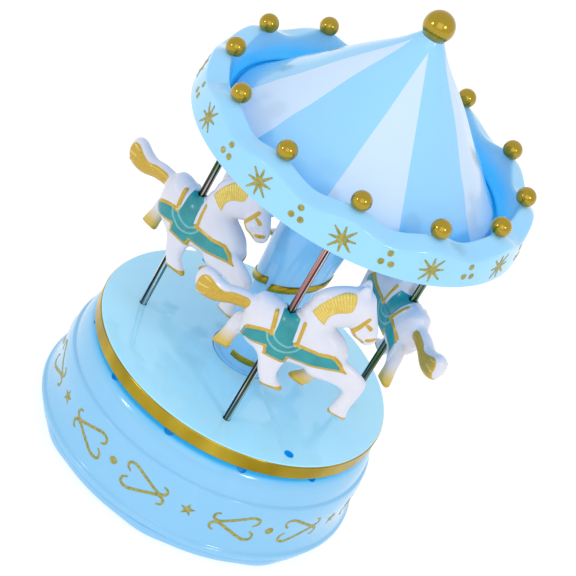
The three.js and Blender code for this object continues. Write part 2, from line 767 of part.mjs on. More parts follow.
// The winding arbor stands in the foot and carries the ratchet wheel under the bedplate.
function windingArbor() {
  const ratchet = [];
  for (let i = 0; i < RATCHET_TEETH; i++) {
    const angle = (i * 2 * Math.PI) / RATCHET_TEETH;
    const drop = angle + 0.02;
    ratchet.push([(RATCHET_R - 1.1) * Math.cos(angle), (RATCHET_R - 1.1) * Math.sin(angle)]);
    ratchet.push([RATCHET_R * Math.cos(drop), RATCHET_R * Math.sin(drop)]);
  }
  const wheel = slab(ratchet, BEDPLATE_Z - 1.9, BEDPLATE_Z - 0.6);
  const rod = bar(ARBOR_R, PAD_HEIGHT + 1.5 + GAP, flangeLow + BARREL_HEIGHT - 2 - GAP, 20);
  piece("winding_arbor", joined(rod, wheel), "steel");
}

// The click drops behind a ratchet tooth, so the spring can't unwind through the foot.
const clickX = RATCHET_R + 5;
function ratchetClick() {
  const low = BEDPLATE_Z - 1.9;
  const high = BEDPLATE_Z - 0.6;
  const arm = slab(
    [
      [clickX + 1.4, -6],
      [clickX - 1.4, -6],
      [RATCHET_R + 0.35, 1.2],
      [RATCHET_R + 0.9, 2.2],
      [clickX - 2.4, 1.4],
    ],
    low,
    high,
  );
  const eye = bar(2, low, high, 20).translate(clickX, -6, 0);
  const hole = bar(0.9, low - 1, high + 1, 12).translate(clickX, -6, 0);
  piece("ratchet_click", geometryOf(solid(arm).add(solid(eye)).subtract(solid(hole))), "steel");
  const pin = bar(0.7, low - 0.4, high + GAP, 12).translate(clickX, -6, 0);
  const head = bar(1.5, low - 1.1, low - GAP, 16).translate(clickX, -6, 0);
  piece("click_pin", joined(pin, head), "steel");
}

// The pinned brass cylinder: each note's ring carries a few pins.
function pinCylinder() {
  const drum = bar(CYLINDER_R, cylinderStart, cylinderStart + CYLINDER_LENGTH, 36);
  const shaft = bar(SHAFT_R, crownPitchR - CYLINDER_STUB, bracketOut + bracketWall + 0.8, 14);
  const gearAt = crownPitchR - 1.2;
  const half = CROWN_FACE / 2;
  const gear = spurGear(CROWN_MODULE, CYLINDER_TEETH, gearAt - half, gearAt + half);
  let made = solid(drum).add(solid(shaft)).add(solid(gear));
  const spacing = (CYLINDER_LENGTH - 2) / (NOTES - 1);
  for (let note = 0; note < NOTES; note++) {
    for (let beat = 0; beat < 2; beat++) {
      const angle = (note * 137.5 + beat * 170 + 26) * DEG;
      const pin = new THREE.ConeGeometry(0.34, PIN_HEIGHT + 0.5, 4).rotateZ(-Math.PI / 2);
      pin.translate(CYLINDER_R + PIN_HEIGHT / 2 - 0.25, 0, cylinderStart + 1 + note * spacing);
      made = made.add(solid(pin.rotateZ(angle)));
    }
  }
  const geometry = geometryOf(made).rotateY(Math.PI / 2).translate(0, 0, cylinderAxisZ);
  piece("pin_cylinder", geometry, "brass");
}

// The steel comb: one tooth for each note, with its tips just clear of the pins.
function comb() {
  const tipY = -(CYLINDER_R + PIN_HEIGHT + 0.35);
  const rootY = tipY - 9;
  const backY = rootY - 5;
  const low = cylinderAxisZ - 0.35;
  const high = cylinderAxisZ + 0.35;
  const spacing = (CYLINDER_LENGTH - 2) / (NOTES - 1);
  const first = cylinderStart + 1;
  const outline = [[first - spacing / 2, backY]];
  outline.push([first + (NOTES - 0.5) * spacing, backY]);
  for (let note = NOTES - 1; note >= 0; note--) {
    const x = first + note * spacing;
    const root = rootY + note * 0.16;
    outline.push([x + 0.33, root], [x + 0.25, tipY], [x - 0.25, tipY], [x - 0.33, root]);
  }
  let made = solid(slab(outline, low, high));
  const baseTop = low - GAP;
  const width = CYLINDER_LENGTH - 1;
  const middle = cylinderStart + CYLINDER_LENGTH / 2;
  let foot = solid(block(width, 4.4, baseTop - bedTop - GAP, [
    middle,
    backY + 2.3,
    (baseTop + bedTop + GAP) / 2,
  ]));
  for (const [i, side] of [-1, 1].entries()) {
    const x = middle + side * (width / 2 - 3);
    const hole = bar(SCREW_R * 0.8 + GAP, bedTop + 3, high + 1, 12).translate(x, backY + 2.3, 0);
    made = made.subtract(solid(hole));
    foot = foot.subtract(solid(hole));
    const head = bar(1.9, high + GAP, high + GAP + 1, 16);
    const shank = bar(SCREW_R * 0.8, bedTop + 3 + GAP, high + GAP + 0.1, 12);
    piece(`comb_screw_${i + 1}`, joined(head, shank).translate(x, backY + 2.3, 0), "steel");
  }
  piece("comb", geometryOf(made), "steel");
  piece("comb_base", geometryOf(foot), "zinc");
}

// The second arbor: its pinion meets the barrel's spur teeth, its wheel turns the worm.
function governorWheel() {
  const half = Math.PI / PINION_TEETH;
  const pinion = spurGear(SPUR_MODULE, PINION_TEETH, flangeLow, wormZ - 1.2, half);
  const wheel = spurGear(WORM_MODULE, WORM_WHEEL_TEETH, wormZ - 1.2, wormZ + 1.2, Math.PI / WORM_WHEEL_TEETH);
  const arbor = bar(SHAFT_R, BEDPLATE_Z + 0.3, wormZ + 6, 14);
  const made = joined(pinion, wheel, arbor).translate(wheelX, 0, 0);
  piece("governor_wheel", made, "brass");
}

const fanY = 11.5;

// The worm's thread is a helix round its shaft, and the fan's two blades slow it in the air.
function governorFan() {
  const pitch = Math.PI * WORM_MODULE;
  class Helix extends THREE.Curve {
    getPoint(t, target = new THREE.Vector3()) {
      const angle = (t - 0.5) * 2 * Math.PI * 2.6;
      const radius = WORM_R;
      return target.set(
        radius * Math.cos(angle),
        radius * Math.sin(angle),
        (angle / (2 * Math.PI)) * pitch,
      );
    }
  }
  const section = new THREE.Shape([
    new THREE.Vector2(-0.34, -0.34),
    new THREE.Vector2(0.34, -0.34),
    new THREE.Vector2(0.34, 0.34),
    new THREE.Vector2(-0.34, 0.34),
  ]);
  const thread = new THREE.ExtrudeGeometry(section, { steps: 30, extrudePath: new Helix() });
  const core = bar(WORM_R - 0.3, -3.6, 3.6, 16);
  const shaft = bar(SHAFT_R, -8.6, fanY + 4.6, 12);
  const blades = block(2 * FAN_R, 0.5, 5, [0, 0, fanY]);
  const boss = bar(1.6, fanY - 2.5, fanY + 2.5, 16);
  const made = joined(core, shaft, blades, boss, thread);
  piece("governor_fan", made.rotateX(-Math.PI / 2).translate(wormX, 0, wormZ), "steel");
}

// Holds both ends of the worm's shaft and the top of the second arbor.
function governorBracket() {
  const top = wormZ + 3.4;
  const low = bedTop + GAP;
  let made = solid(block(4, 14.2, 1.4, [wormX, -0.4, top + 0.7]));
  for (const y of [-6.9, 6.1]) {
    const cheek = block(4, 1.2, top - low + 0.2, [wormX, y, (top + low) / 2 + 0.1]);
    const hole = bar(SHAFT_R + 0.15, -2, 2, 14).rotateX(Math.PI / 2);
    made = made.add(solid(cheek)).subtract(solid(hole.translate(wormX, y, wormZ)));
  }
  const arm = block(wheelX - wormX + 4, 4, 1.4, [(wheelX + wormX) / 2 + 1, 0, top + 0.7]);
  made = made.add(solid(arm));
  made = made.subtract(solid(bar(SHAFT_R + 0.15, top - 1, top + 2, 14).translate(wheelX, 0, 0)));
  piece("governor_bracket", geometryOf(made), "zinc");
}

function canopyScrew() {
  const head = ceilingZ + CEILING_THICKNESS + GAP;
  piece("canopy_screw", screw(0, 0, head, 8), "steel");
  piece("deck_screw", screw(0, 0, flangeZ + 1 + GAP, 5), "steel");
}

// ---- Assembly -----------------------------------------------------------------------------

baseHousing();
windingFoot();
turntable();
deckRim();
deckBush();
centreColumn();
columnFootRing();
canopyCeiling();
canopyFascia();
coneRoof();
finial();
crownBalls();
horsesAndPoles();
bedplate();
springBarrel();
mainspring();
windingArbor();
ratchetClick();
pinCylinder();
comb();
governorWheel();
governorFan();
governorBracket();
canopyScrew();

export default carousel;
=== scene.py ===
"""The looks of a wind-up carousel music box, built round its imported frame.

Lengths in this script are millimetres until a mesh is made, and metres after that. Azimuth 0 faces
-Y and grows towards +X, which is the way the carousel turns.
"""

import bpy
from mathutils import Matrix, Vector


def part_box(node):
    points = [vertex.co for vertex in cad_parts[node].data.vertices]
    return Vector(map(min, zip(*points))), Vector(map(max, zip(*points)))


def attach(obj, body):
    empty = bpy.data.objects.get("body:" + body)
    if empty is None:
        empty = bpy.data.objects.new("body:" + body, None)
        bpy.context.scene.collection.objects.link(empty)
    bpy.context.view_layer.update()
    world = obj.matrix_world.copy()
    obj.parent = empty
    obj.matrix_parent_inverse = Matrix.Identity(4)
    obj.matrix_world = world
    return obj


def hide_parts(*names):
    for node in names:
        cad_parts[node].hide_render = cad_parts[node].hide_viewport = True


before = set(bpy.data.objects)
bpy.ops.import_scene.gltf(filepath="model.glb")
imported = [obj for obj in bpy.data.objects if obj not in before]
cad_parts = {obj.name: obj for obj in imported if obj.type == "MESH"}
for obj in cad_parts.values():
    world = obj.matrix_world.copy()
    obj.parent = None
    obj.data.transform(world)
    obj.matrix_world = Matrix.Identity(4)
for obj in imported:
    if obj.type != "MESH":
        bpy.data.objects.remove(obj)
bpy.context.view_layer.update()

import itertools
import math

import bmesh
import bpy
import numpy as np
from mathutils import Matrix, Vector

MM = 0.001
TURN = 2 * math.pi


# ---- Places read from the frame -------------------------------------------------------------


def box_mm(node):
    low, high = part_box(node)
    return low / MM, high / MM


DECK_Z = box_mm("deck_rim")[1].z
DECK_R = box_mm("deck_rim")[1].x
CEILING_Z = box_mm("canopy_fascia")[0].z
FASCIA_R = box_mm("canopy_fascia")[1].x
BEAD_R = box_mm("base_housing")[1].x
HOUSING_LOW = box_mm("base_housing")[0].z
HOUSING_TOP = box_mm("base_housing")[1].z
FOOT_LOW = box_mm("winding_foot")[0].z
FOOT_R = box_mm("winding_foot")[1].x
CONE_LOW = box_mm("cone_roof")[0].z
CONE_TOP = box_mm("cone_roof")[1].z
CONE_R = box_mm("cone_roof")[1].x
COLUMN_LOW, COLUMN_TOP = (corner.z for corner in box_mm("centre_column"))
RING_LOW, RING_TOP = (corner.z for corner in box_mm("column_foot_ring"))
RING_R = box_mm("column_foot_ring")[1].x
FINIAL_R = box_mm("finial_ball")[1].x
FINIAL_Z = box_mm("finial_ball")[1].z - FINIAL_R
BALLS = sum(name.startswith("crown_ball_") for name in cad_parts)
HORSES = ("front", "right", "back", "left")
HORSE_TURN = {"front": 0, "right": 28, "back": 0, "left": 60}  # inwards on the pole, in degrees


def centre_of(node):
    low, high = box_mm(node)
    return (low + high) / 2


BALL_AT = centre_of("crown_ball_1")
BALL_R = (box_mm("crown_ball_1")[1].x - box_mm("crown_ball_1")[0].x) / 2 * 1.02
BALL_Z = box_mm("crown_ball_1")[1].z - BALL_R
BALL_CIRCLE = math.hypot(BALL_AT.x, BALL_AT.y)
BALL_AZ = math.degrees(math.atan2(BALL_AT.x, -BALL_AT.y))
POLE_AT = {name: centre_of(f"pole_{name}") for name in HORSES}
POLE_R = (box_mm("pole_front")[1].x - box_mm("pole_front")[0].x) / 2
POLE_LOW, POLE_TOP = (corner.z for corner in box_mm("pole_front"))


# ---- Node graphs ----------------------------------------------------------------------------


class Value:
    """The output of a node, with the arithmetic operators: each adds one Math node."""

    def __init__(self, graph, socket):
        self.graph = graph
        self.socket = socket

    def math(self, operation, *others):
        return self.graph.math(operation, self, *others)

    def __add__(self, other):
        return self.math("ADD", other)

    def __mul__(self, other):
        return self.math("MULTIPLY", other)

    def __sub__(self, other):
        return self.math("SUBTRACT", other)

    def __truediv__(self, other):
        return self.math("DIVIDE", other)

    def __rsub__(self, other):
        return self.graph.math("SUBTRACT", other, self)

    def __rtruediv__(self, other):
        return self.graph.math("DIVIDE", other, self)

    def __pow__(self, other):
        return self.math("POWER", other)

    __radd__ = __add__
    __rmul__ = __mul__

    def clamped(self):
        return self.math("MINIMUM", 1.0).math("MAXIMUM", 0.0)

    def ramped(self, low, high):
        """0 below low and 1 above high, or the other way round where low is the larger."""
        return ((self - low) / (high - low)).clamped()


class Graph:
    """The nodes of one tree, each added by its type, its settings and the values of its sockets."""

    def __init__(self, tree):
        self.tree = tree

    def add(self, kind, settings=None, values=None, out=0):
        node = self.tree.nodes.new(kind)
        for key, setting in (settings or {}).items():
            if key == "stops":
                set_stops(node.color_ramp, setting)
            else:
                setattr(node, key, setting)
        for key, value in (values or {}).items():
            if isinstance(value, Value):
                self.tree.links.new(value.socket, node.inputs[key])
            else:
                node.inputs[key].default_value = value
        return Value(self, node.outputs[out]) if node.outputs else node

    def math(self, operation, *terms):
        return self.add("ShaderNodeMath", {"operation": operation}, dict(enumerate(terms)))

    def vector(self, operation, values):
        return self.add("ShaderNodeVectorMath", {"operation": operation}, values)

    def split(self, vector):
        return [self.add("ShaderNodeSeparateXYZ", None, {0: vector}, out) for out in range(3)]

    def join(self, x, y, z):
        return self.add("ShaderNodeCombineXYZ", None, {0: x, 1: y, 2: z})


def set_stops(ramp, stops):
    while len(ramp.elements) < len(stops):
        ramp.elements.new(1.0)
    for element, (place, colour) in zip(ramp.elements, stops):
        element.position = place
        element.color = colour


class Finish(Graph):
    """A material: its graph ends in one Principled BSDF."""

    def __init__(self, name):
        self.material = bpy.data.materials.new(name)
        self.material.use_nodes = True
        super().__init__(self.material.node_tree)
        self.tree.nodes.clear()
        self.place = self.add("ShaderNodeTexCoord", None, None, "Object")

    def mix(self, share, first, second):
        settings = {"data_type": "RGBA"}
        return self.add("ShaderNodeMix", settings, {0: share, 6: first, 7: second}, 2)

    def noise(self, scale, detail=2.0, place=None):
        """Noise with features of about scale millimetres, from 0 to 1."""
        values = {"Vector": place or self.place, "Scale": 1 / (scale * MM), "Detail": detail}
        return self.add("ShaderNodeTexNoise", None, values)

    def stretched(self, x, y, z):
        return self.add("ShaderNodeMapping", None, {"Vector": self.place, "Scale": (x, y, z)})

    def attribute(self, name):
        return self.add("ShaderNodeAttribute", {"attribute_name": name}, None, "Fac")

    def polar(self):
        """Radius and height in millimetres, and azimuth in degrees from -180 to 180."""
        x, y, z = self.split(self.place)
        radius = (x * x + y * y) ** 0.5 / MM
        azimuth = x.math("ARCTAN2", y * -1.0) * (360 / TURN)
        return radius, azimuth, z / MM

    def bump(self, height, depth, normal=None):
        """Height from 0 to 1 stands for depth millimetres."""
        values = {"Height": height, "Strength": 1.0, "Distance": depth * MM}
        if normal:
            values["Normal"] = normal
        return self.add("ShaderNodeBump", None, values)

    def close(self, sockets):
        shader = self.add("ShaderNodeBsdfPrincipled", None, sockets)
        self.add("ShaderNodeOutputMaterial", None, {"Surface": shader})
        return self.material


def colour(red, green, blue):
    """A linear colour from display values of 0 to 255."""

    def linear(value):
        share = value / 255
        return share / 12.92 if share <= 0.04045 else ((share + 0.055) / 1.055) ** 2.4

    return linear(red), linear(green), linear(blue), 1.0


# ---- Materials ------------------------------------------------------------------------------

SKY = colour(144, 206, 247)
# painted shade: the base's blue is set darker than the canopy's to offset the stronger light on it
HOUSING_SKY_PAINTED_SHADE = colour(128, 190, 230)
# painted shade: the deeper blue of the plastic in crevices, also the far end of its random clouding
SKY_DEEP_SHADE = colour(40, 180, 252)
SKY_GAP_GLOW = colour(0, 118, 150)  # painted glow: emission in narrow gaps, standing in for light through the walls
# painted light: the deck's blue is set lighter than the rest to offset the canopy's shade on it
DECK_SKY_PAINTED_LIGHT = colour(172, 231, 255)
SKY_PALE = colour(200, 222, 248)


def moulded(graph, base, shade_share, rough=0.16, gap=0.0):
    """Glossy moulded plastic with painted shade: deeper blue in the masked places where the walls
    face each other, and a painted glow there as strong as gap says.
    """
    cloud = graph.noise(22, 3)
    # paler streaks drawn out upwards
    pale_streaks = graph.noise(6, 4, graph.stretched(1, 1, 0.25))
    # painted shade deepens the blue in the masked crevices
    tone = graph.mix((cloud - 0.5) * 0.22 + shade_share, base, SKY_DEEP_SHADE)
    tone = graph.mix(pale_streaks.ramped(0.55, 0.85) * 0.08, tone, SKY_PALE)
    scuffs = graph.noise(1.6, 5).ramped(0.58, 0.78)
    skin = graph.bump(graph.noise(1.1, 2), 0.006)
    return graph.close({
        "Base Color": tone,
        "Roughness": scuffs * 0.1 + (pale_streaks * 0.05 + rough),
        # painted glow in the same shaded crevices
        "Emission Color": graph.mix(shade_share, colour(0, 0, 0), SKY_GAP_GLOW),
        "Emission Strength": gap,
        "Normal": skin,
        "IOR": 1.52,
        "Coat Weight": 0.3,
        "Coat Roughness": 0.05,
    })


def housing_plastic():
    graph = Finish("sky blue plastic of the base")
    radius, _, height = graph.polar()
    # painted shade: deeper blue and a painted glow on the neck under the rim
    neck_shade = height.ramped(30.0, 32.6) * radius.ramped(DECK_R + 0.6, DECK_R - 1.2)
    return moulded(graph, HOUSING_SKY_PAINTED_SHADE, neck_shade * 0.95, 0.14, 0.8)


def canopy_plastic():
    graph = Finish("sky blue plastic of the canopy")
    radius, _, height = graph.polar()
    # painted shade: deeper blue and a painted glow in the gutter inside the crown
    gutter_shade = radius.ramped(43.4, 41.8) * height.ramped(121.0, 115.5)
    return moulded(graph, SKY, gutter_shade * 0.85, 0.14, 0.75)


def deck_plastic():
    graph = Finish("sky blue plastic of the turntable")
    radius, _, height = graph.polar()
    # painted shade: deeper blue under the deck's edge
    under = height.ramped(DECK_Z - 0.15, DECK_Z - 0.6)
    return moulded(graph, DECK_SKY_PAINTED_LIGHT, under, 0.06)


def bore_shade_and_glow():
    """The inside of a narrow hole, in painted shade: a darker blue with a painted glow, in place of
    light through the plastic.
    """
    graph = Finish("blue plastic inside a hole")
    cloud = graph.noise(1.5, 2)
    return graph.close({
        "Base Color": graph.mix(cloud, colour(0, 108, 186), colour(0, 132, 212)),
        "Roughness": 0.35,
        "Emission Color": colour(0, 140, 192),
        "Emission Strength": 0.5,
    })


def column_plastic():
    graph = Finish("sky blue plastic of the column")
    # painted shade: random vertical streaks of deeper blue
    return moulded(graph, SKY, graph.noise(9, 1, graph.stretched(1, 1, 0.3)) * 0.25)


SECTORS = 5
SECTOR_AZ = 12.5
SECTOR_SLOPE = 0.305  # half the width of a white sector over its distance below the tip
SECTOR_TIP_Z = 151.0


def striped_plastic():
    """Blue and white sectors: each white one is a straight-sided triangle up to the collar."""
    graph = Finish("striped plastic of the roof")
    radius, azimuth, height = graph.polar()
    pitch = 360 / SECTORS
    turned_by = (azimuth - (SECTOR_AZ - pitch / 2) + 360) / pitch
    off_centre = (turned_by.math("FRACT") - 0.5).math("ABSOLUTE") * math.radians(pitch)
    half_width = (SECTOR_TIP_Z - height) * SECTOR_SLOPE
    white = (off_centre * radius).ramped(half_width + 0.06, half_width - 0.06)
    # painted shade: both blue and white sectors grow deeper towards the cone's foot in the gutter
    foot = height.ramped(120.0, 112.5)
    cloud = graph.noise(20, 3)
    blue = graph.mix(foot * 0.85 + (cloud - 0.5) * 0.2, SKY, SKY_DEEP_SHADE)
    pale = graph.mix(foot * 0.35 + cloud * 0.12, SKY_PALE, SKY)
    edge = graph.bump(white, 0.03)
    skin = graph.bump(graph.noise(1.2, 2), 0.005, edge)
    return graph.close({
        "Base Color": graph.mix(white, blue, pale),
        "Roughness": white * 0.08 + (cloud * 0.06 + 0.14),
        "Normal": skin,
        "IOR": 1.52,
        "Coat Weight": 0.25,
        "Coat Roughness": 0.06,
    })


def gold_foil():
    """Hot-stamped foil: a bright metal with a painted reflection, large soft patches from dark to
    bright gold, and a few pinholes.
    """
    graph = Finish("gold foil")
    reflection_patches = graph.noise(14, 2, graph.stretched(1, 1, 0.6))
    pinhole = graph.noise(0.8, 2).ramped(0.74, 0.78)
    tone = graph.mix(reflection_patches.ramped(0.3, 0.75), colour(142, 120, 22), colour(196, 170, 58))
    return graph.close({
        "Base Color": graph.mix(pinhole * 0.4, tone, colour(120, 100, 40)),
        "Metallic": 1.0 - pinhole * 0.6,
        "Roughness": reflection_patches * 0.1 + 0.2,
        "Normal": graph.bump(graph.noise(4, 2), 0.008),
    })


def gold_paint():
    """Mustard-gold lacquer with fine metal flake in it."""
    graph = Finish("gold lacquer")
    flake = graph.noise(0.22, 1).ramped(0.45, 0.75)
    cloud = graph.noise(3.5, 3)
    tone = graph.mix(flake * 0.35 + cloud * 0.35, colour(160, 132, 6), colour(186, 160, 24))
    return graph.close({
        "Base Color": tone,
        "Metallic": flake * 0.1 + 0.74,
        "Roughness": cloud * 0.05 + 0.13,
        "Normal": graph.bump(flake, 0.0015),
        "Coat Weight": 0.6,
        "Coat Roughness": 0.06,
    })


def gold_print():
    """Olive-gold ink, a little thin and uneven where it was pressed on."""
    graph = Finish("gold ink")
    worn = graph.noise(0.9, 4)
    tone = graph.mix(worn.ramped(0.35, 0.7), colour(128, 128, 52), colour(172, 166, 92))
    return graph.close({
        "Base Color": tone,
        "Metallic": 0.25,
        "Roughness": worn * 0.2 + 0.3,
        "Normal": graph.bump(worn, 0.01),
    })


def iridescent_chrome():
    """Plated tube with a painted sheen: grey, rose and green follow each other round it and along
    it, rose on the upper part of the front poles, and painted reflections run along it in dark and
    bright streaks.
    """
    graph = Finish("iridescent chrome")
    reflection_streak = graph.noise(0.62, 2, graph.stretched(1, 1, 0.008))
    around = graph.attribute("front") + (graph.noise(16, 1) - 0.5) * 0.5
    rose = graph.attribute("along").ramped(0.42, 0.62) * around.ramped(0.55, 0.8)
    greenish = graph.noise(11, 1).ramped(0.35, 0.65)
    cool = graph.mix(greenish, colour(120, 128, 132), colour(96, 138, 66))
    tint = graph.mix(rose * 0.85, cool, colour(172, 108, 110))
    # painted reflections: dark and bright lengthwise streaks
    tint = graph.mix(reflection_streak.ramped(0.53, 0.44), tint, colour(30, 32, 34))
    tint = graph.mix(reflection_streak.ramped(0.56, 0.62), tint, colour(232, 230, 230))
    return graph.close({
        "Base Color": tint,
        "Metallic": 1.0,
        "Roughness": reflection_streak * 0.08 + 0.1,
        "Normal": graph.bump(reflection_streak, 0.012),
    })


def horse_paint():
    """White plastic with gold and teal paint laid on the raised trimmings."""
    graph = Finish("painted horse plastic")
    cloud = graph.noise(5, 3)
    speck = graph.noise(0.45, 3)
    worn = graph.attribute("worn")
    body = graph.mix(cloud, colour(219, 219, 228), colour(200, 203, 219))
    dull = speck.ramped(0.3, 0.8) * 0.6 + cloud * 0.3
    gold = graph.mix(dull, colour(176, 140, 22), colour(212, 180, 74))
    gold = graph.mix(graph.attribute("mane") * 0.6, gold, colour(226, 200, 92))
    # the gold and teal grow paler along the mane's strands and the tail's lines, and on the ribs'
    # crests as a painted highlight
    gold = graph.mix(worn * 0.6, gold, colour(244, 230, 160))
    teal = graph.mix(cloud.ramped(0.3, 0.75), colour(4, 126, 134), colour(22, 150, 156))
    teal = graph.mix(worn * 0.5, teal, colour(176, 228, 228))
    wobble = (speck - 0.5) * 0.14
    in_teal = (graph.attribute("teal") + wobble).ramped(-0.06, 0.06)
    in_gold = (graph.attribute("gold") + wobble).ramped(-0.06, 0.06)
    dust = graph.attribute("dust") * (speck * 0.4 + 0.9)
    tone = graph.mix(dust.clamped(), body, colour(198, 172, 70))
    tone = graph.mix(in_teal, tone, teal)
    tone = graph.mix(in_gold, tone, gold)
    return graph.close({
        "Base Color": tone,
        "Metallic": in_gold * 0.25,
        "Roughness": in_gold * 0.04 + (cloud * 0.08 + 0.26),
        "Normal": graph.bump(in_gold + in_teal + graph.noise(1.4, 2) * 0.4, 0.015),
        "Coat Weight": 0.2,
        "Coat Roughness": 0.1,
    })


def metal(name, dark, light, rough, brush):
    """Machined or cast metal: brush is how far its grain is drawn out along X."""
    graph = Finish(name)
    grain = graph.noise(0.35, 4, graph.stretched(brush, 1, 1))
    stain = graph.noise(6, 3)
    return graph.close({
        "Base Color": graph.mix(stain * 0.6 + grain * 0.3, dark, light),
        "Metallic": 1.0,
        "Roughness": grain * 0.2 + (stain * 0.1 + rough),
        "Normal": graph.bump(grain, 0.02),
    })


def soft_plastic(name, dark, light, rough, grain_size):
    graph = Finish(name)
    grain = graph.noise(grain_size, 4)
    return graph.close({
        "Base Color": graph.mix(grain, dark, light),
        "Roughness": grain * 0.15 + rough,
        "Normal": graph.bump(grain, 0.03),
    })


FINISHES = {
    "blue_plastic": housing_plastic(),
    "canopy": canopy_plastic(),
    "deck": deck_plastic(),
    "bore": bore_shade_and_glow(),
    "column": column_plastic(),
    "striped_plastic": striped_plastic(),
    "gold_foil": gold_foil(),
    "gold_paint": gold_paint(),
    "gold_print": gold_print(),
    "chrome": iridescent_chrome(),
    "horse_plastic": horse_paint(),
    "brass": metal("brass", colour(150, 116, 48), colour(214, 182, 104), 0.2, 0.2),
    "spring_steel": metal("spring steel", colour(92, 94, 98), colour(180, 182, 188), 0.2, 0.1),
    "zinc": metal("cast zinc", colour(112, 116, 120), colour(168, 170, 174), 0.4, 1),
    "nylon": soft_plastic("nylon", colour(224, 219, 204), colour(240, 236, 226), 0.4, 0.8),
    "rubber": soft_plastic("rubber", colour(34, 35, 38), colour(62, 64, 68), 0.7, 0.3),
}


# ---- Mesh helpers ---------------------------------------------------------------------------


def polar(radius, azimuth, z):
    angle = math.radians(azimuth)
    return Vector((radius * math.sin(angle), -radius * math.cos(angle), z))


def smooth_line(points, steps=6, closed=False):
    """A Catmull-Rom curve through the points, as an array."""
    places = [np.array(point, float) for point in points]
    count = len(places)
    spans = count if closed else count - 1
    line = []
    for i in range(spans):
        if closed:
            a, b, c, d = (places[(i + j) % count] for j in (-1, 0, 1, 2))
        else:
            a, b, c, d = (places[min(max(i + j, 0), count - 1)] for j in (-1, 0, 1, 2))
        for step in range(steps):
            t = step / steps
            bend = (2 * a - 5 * b + 4 * c - d) * t**2 + (3 * b - a - 3 * c + d) * t**3
            line.append((2 * b + (c - a) * t + bend) / 2)
    if not closed:
        line.append(places[-1])
    return np.array(line)


def turned(rows, segments, wave=None):
    """Vertices and faces of rows of (radius, height) turned about Z. Rows that start and end on the
    axis close there, and other rows close on each other. wave moves a row's point by azimuth."""
    on_axis = rows[0][0] == 0
    middle = rows[1:-1] if on_axis else rows
    points = []
    for i, (radius, height) in enumerate(middle):
        for k in range(segments):
            azimuth = 360 * k / segments
            out, up = wave(i, azimuth) if wave else (0.0, 0.0)
            points.append(polar(radius + out, azimuth, height + up))
    faces = []
    count = len(middle)
    for i in range(count - 1 if on_axis else count):
        for k in range(segments):
            a, b = i * segments, (i + 1) % count * segments
            n = (k + 1) % segments
            faces.append((a + k, a + n, b + n, b + k))
    if on_axis:
        points += [Vector((0, 0, rows[0][1])), Vector((0, 0, rows[-1][1]))]
        low, high = len(points) - 2, len(points) - 1
        last = (count - 1) * segments
        for k in range(segments):
            n = (k + 1) % segments
            faces.append((low, n, k))
            faces.append((last + k, last + n, high))
    return points, faces


def smooth_rows(points, steps=6):
    """The same curve as a list of rows."""
    return [tuple(row) for row in smooth_line(points, steps)]


def offset(radius, height, rows):
    """Rows given as (out, up) from a radius and a height: whatever follows in a row is kept."""
    return [(radius + out, height + up, *rest) for out, up, *rest in rows]


def linked(name, data):
    """A new object in the scene."""
    made = bpy.data.objects.new(name, data)
    bpy.context.scene.collection.objects.link(made)
    return made


def shaded(mesh, crease=32):
    mesh.shade_smooth()
    mesh.set_sharp_from_angle(angle=math.radians(crease))


def new_piece(name, points, faces, finish, crease=32):
    """A piece at the origin from points in millimetres, with its normals turned outwards."""
    mesh = bpy.data.meshes.new(name)
    mesh.from_pydata([Vector(point) * MM for point in points], [], faces)
    work = bmesh.new()
    work.from_mesh(mesh)
    bmesh.ops.remove_doubles(work, verts=work.verts, dist=1e-7)
    bmesh.ops.recalc_face_normals(work, faces=work.faces)
    work.to_mesh(mesh)
    work.free()
    shaded(mesh, crease)
    mesh.materials.append(FINISHES[finish])
    return linked(name, mesh)


def fitted(piece, body, slot, *nodes):
    """The piece rides on a body and stands for the named nodes, whose parts it hides. slot is not
    used.
    """
    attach(piece, body)
    if nodes:
        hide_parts(*nodes)
    return piece


def baked(piece):
    """The piece with its modifiers turned into a plain mesh."""
    bpy.context.view_layer.update()
    graph = bpy.context.evaluated_depsgraph_get()
    mesh = bpy.data.meshes.new_from_object(piece.evaluated_get(graph), depsgraph=graph)
    piece.modifiers.clear()
    piece.data = mesh
    return piece


def bars(name, places, radius, low, high, tilt=0.0):
    """Round bars at the places, as one object to cut with: each can lean outwards at its foot."""
    work = bmesh.new()
    for spot, azimuth in places:
        lean = Matrix.Rotation(math.radians(azimuth), 4, "Z") @ Matrix.Rotation(tilt, 4, "X")
        centre = Matrix.Translation(Vector(spot) * MM) @ lean
        middle = Matrix.Translation((0, 0, (low + high) / 2 * MM))
        bmesh.ops.create_cone(
            work,
            cap_ends=True,
            segments=28,
            radius1=radius * MM,
            radius2=radius * MM,
            depth=(high - low) * MM,
            matrix=centre @ middle,
        )
    mesh = bpy.data.meshes.new(name)
    work.to_mesh(mesh)
    work.free()
    # the walls of each cut get painted shade and a painted glow
    mesh.materials.append(FINISHES["bore"])
    return linked(name, mesh)


def bored(piece, cutter, crease=32):
    """Cuts the bars out of the piece, then throws them away."""
    boolean = piece.modifiers.new("bores", "BOOLEAN")
    boolean.operation = "DIFFERENCE"
    boolean.solver = "EXACT"
    boolean.material_mode = "TRANSFER"
    boolean.object = cutter
    baked(piece)
    bpy.data.objects.remove(cutter)
    shaded(piece.data, crease)
    return piece


# ---- Base -----------------------------------------------------------------------------------

BELLY_R = 48.0
SHOULDER_Z = 24.4
NECK_R = 42.4
VENTS = 12
VENT_AZ = -9.5
VENT_Z = 32.7
VENT_R = 1.6
VENT_TILT = math.radians(45)
WELL_R = 8.3  # the hole in the roof that the turntable's drive comes up through


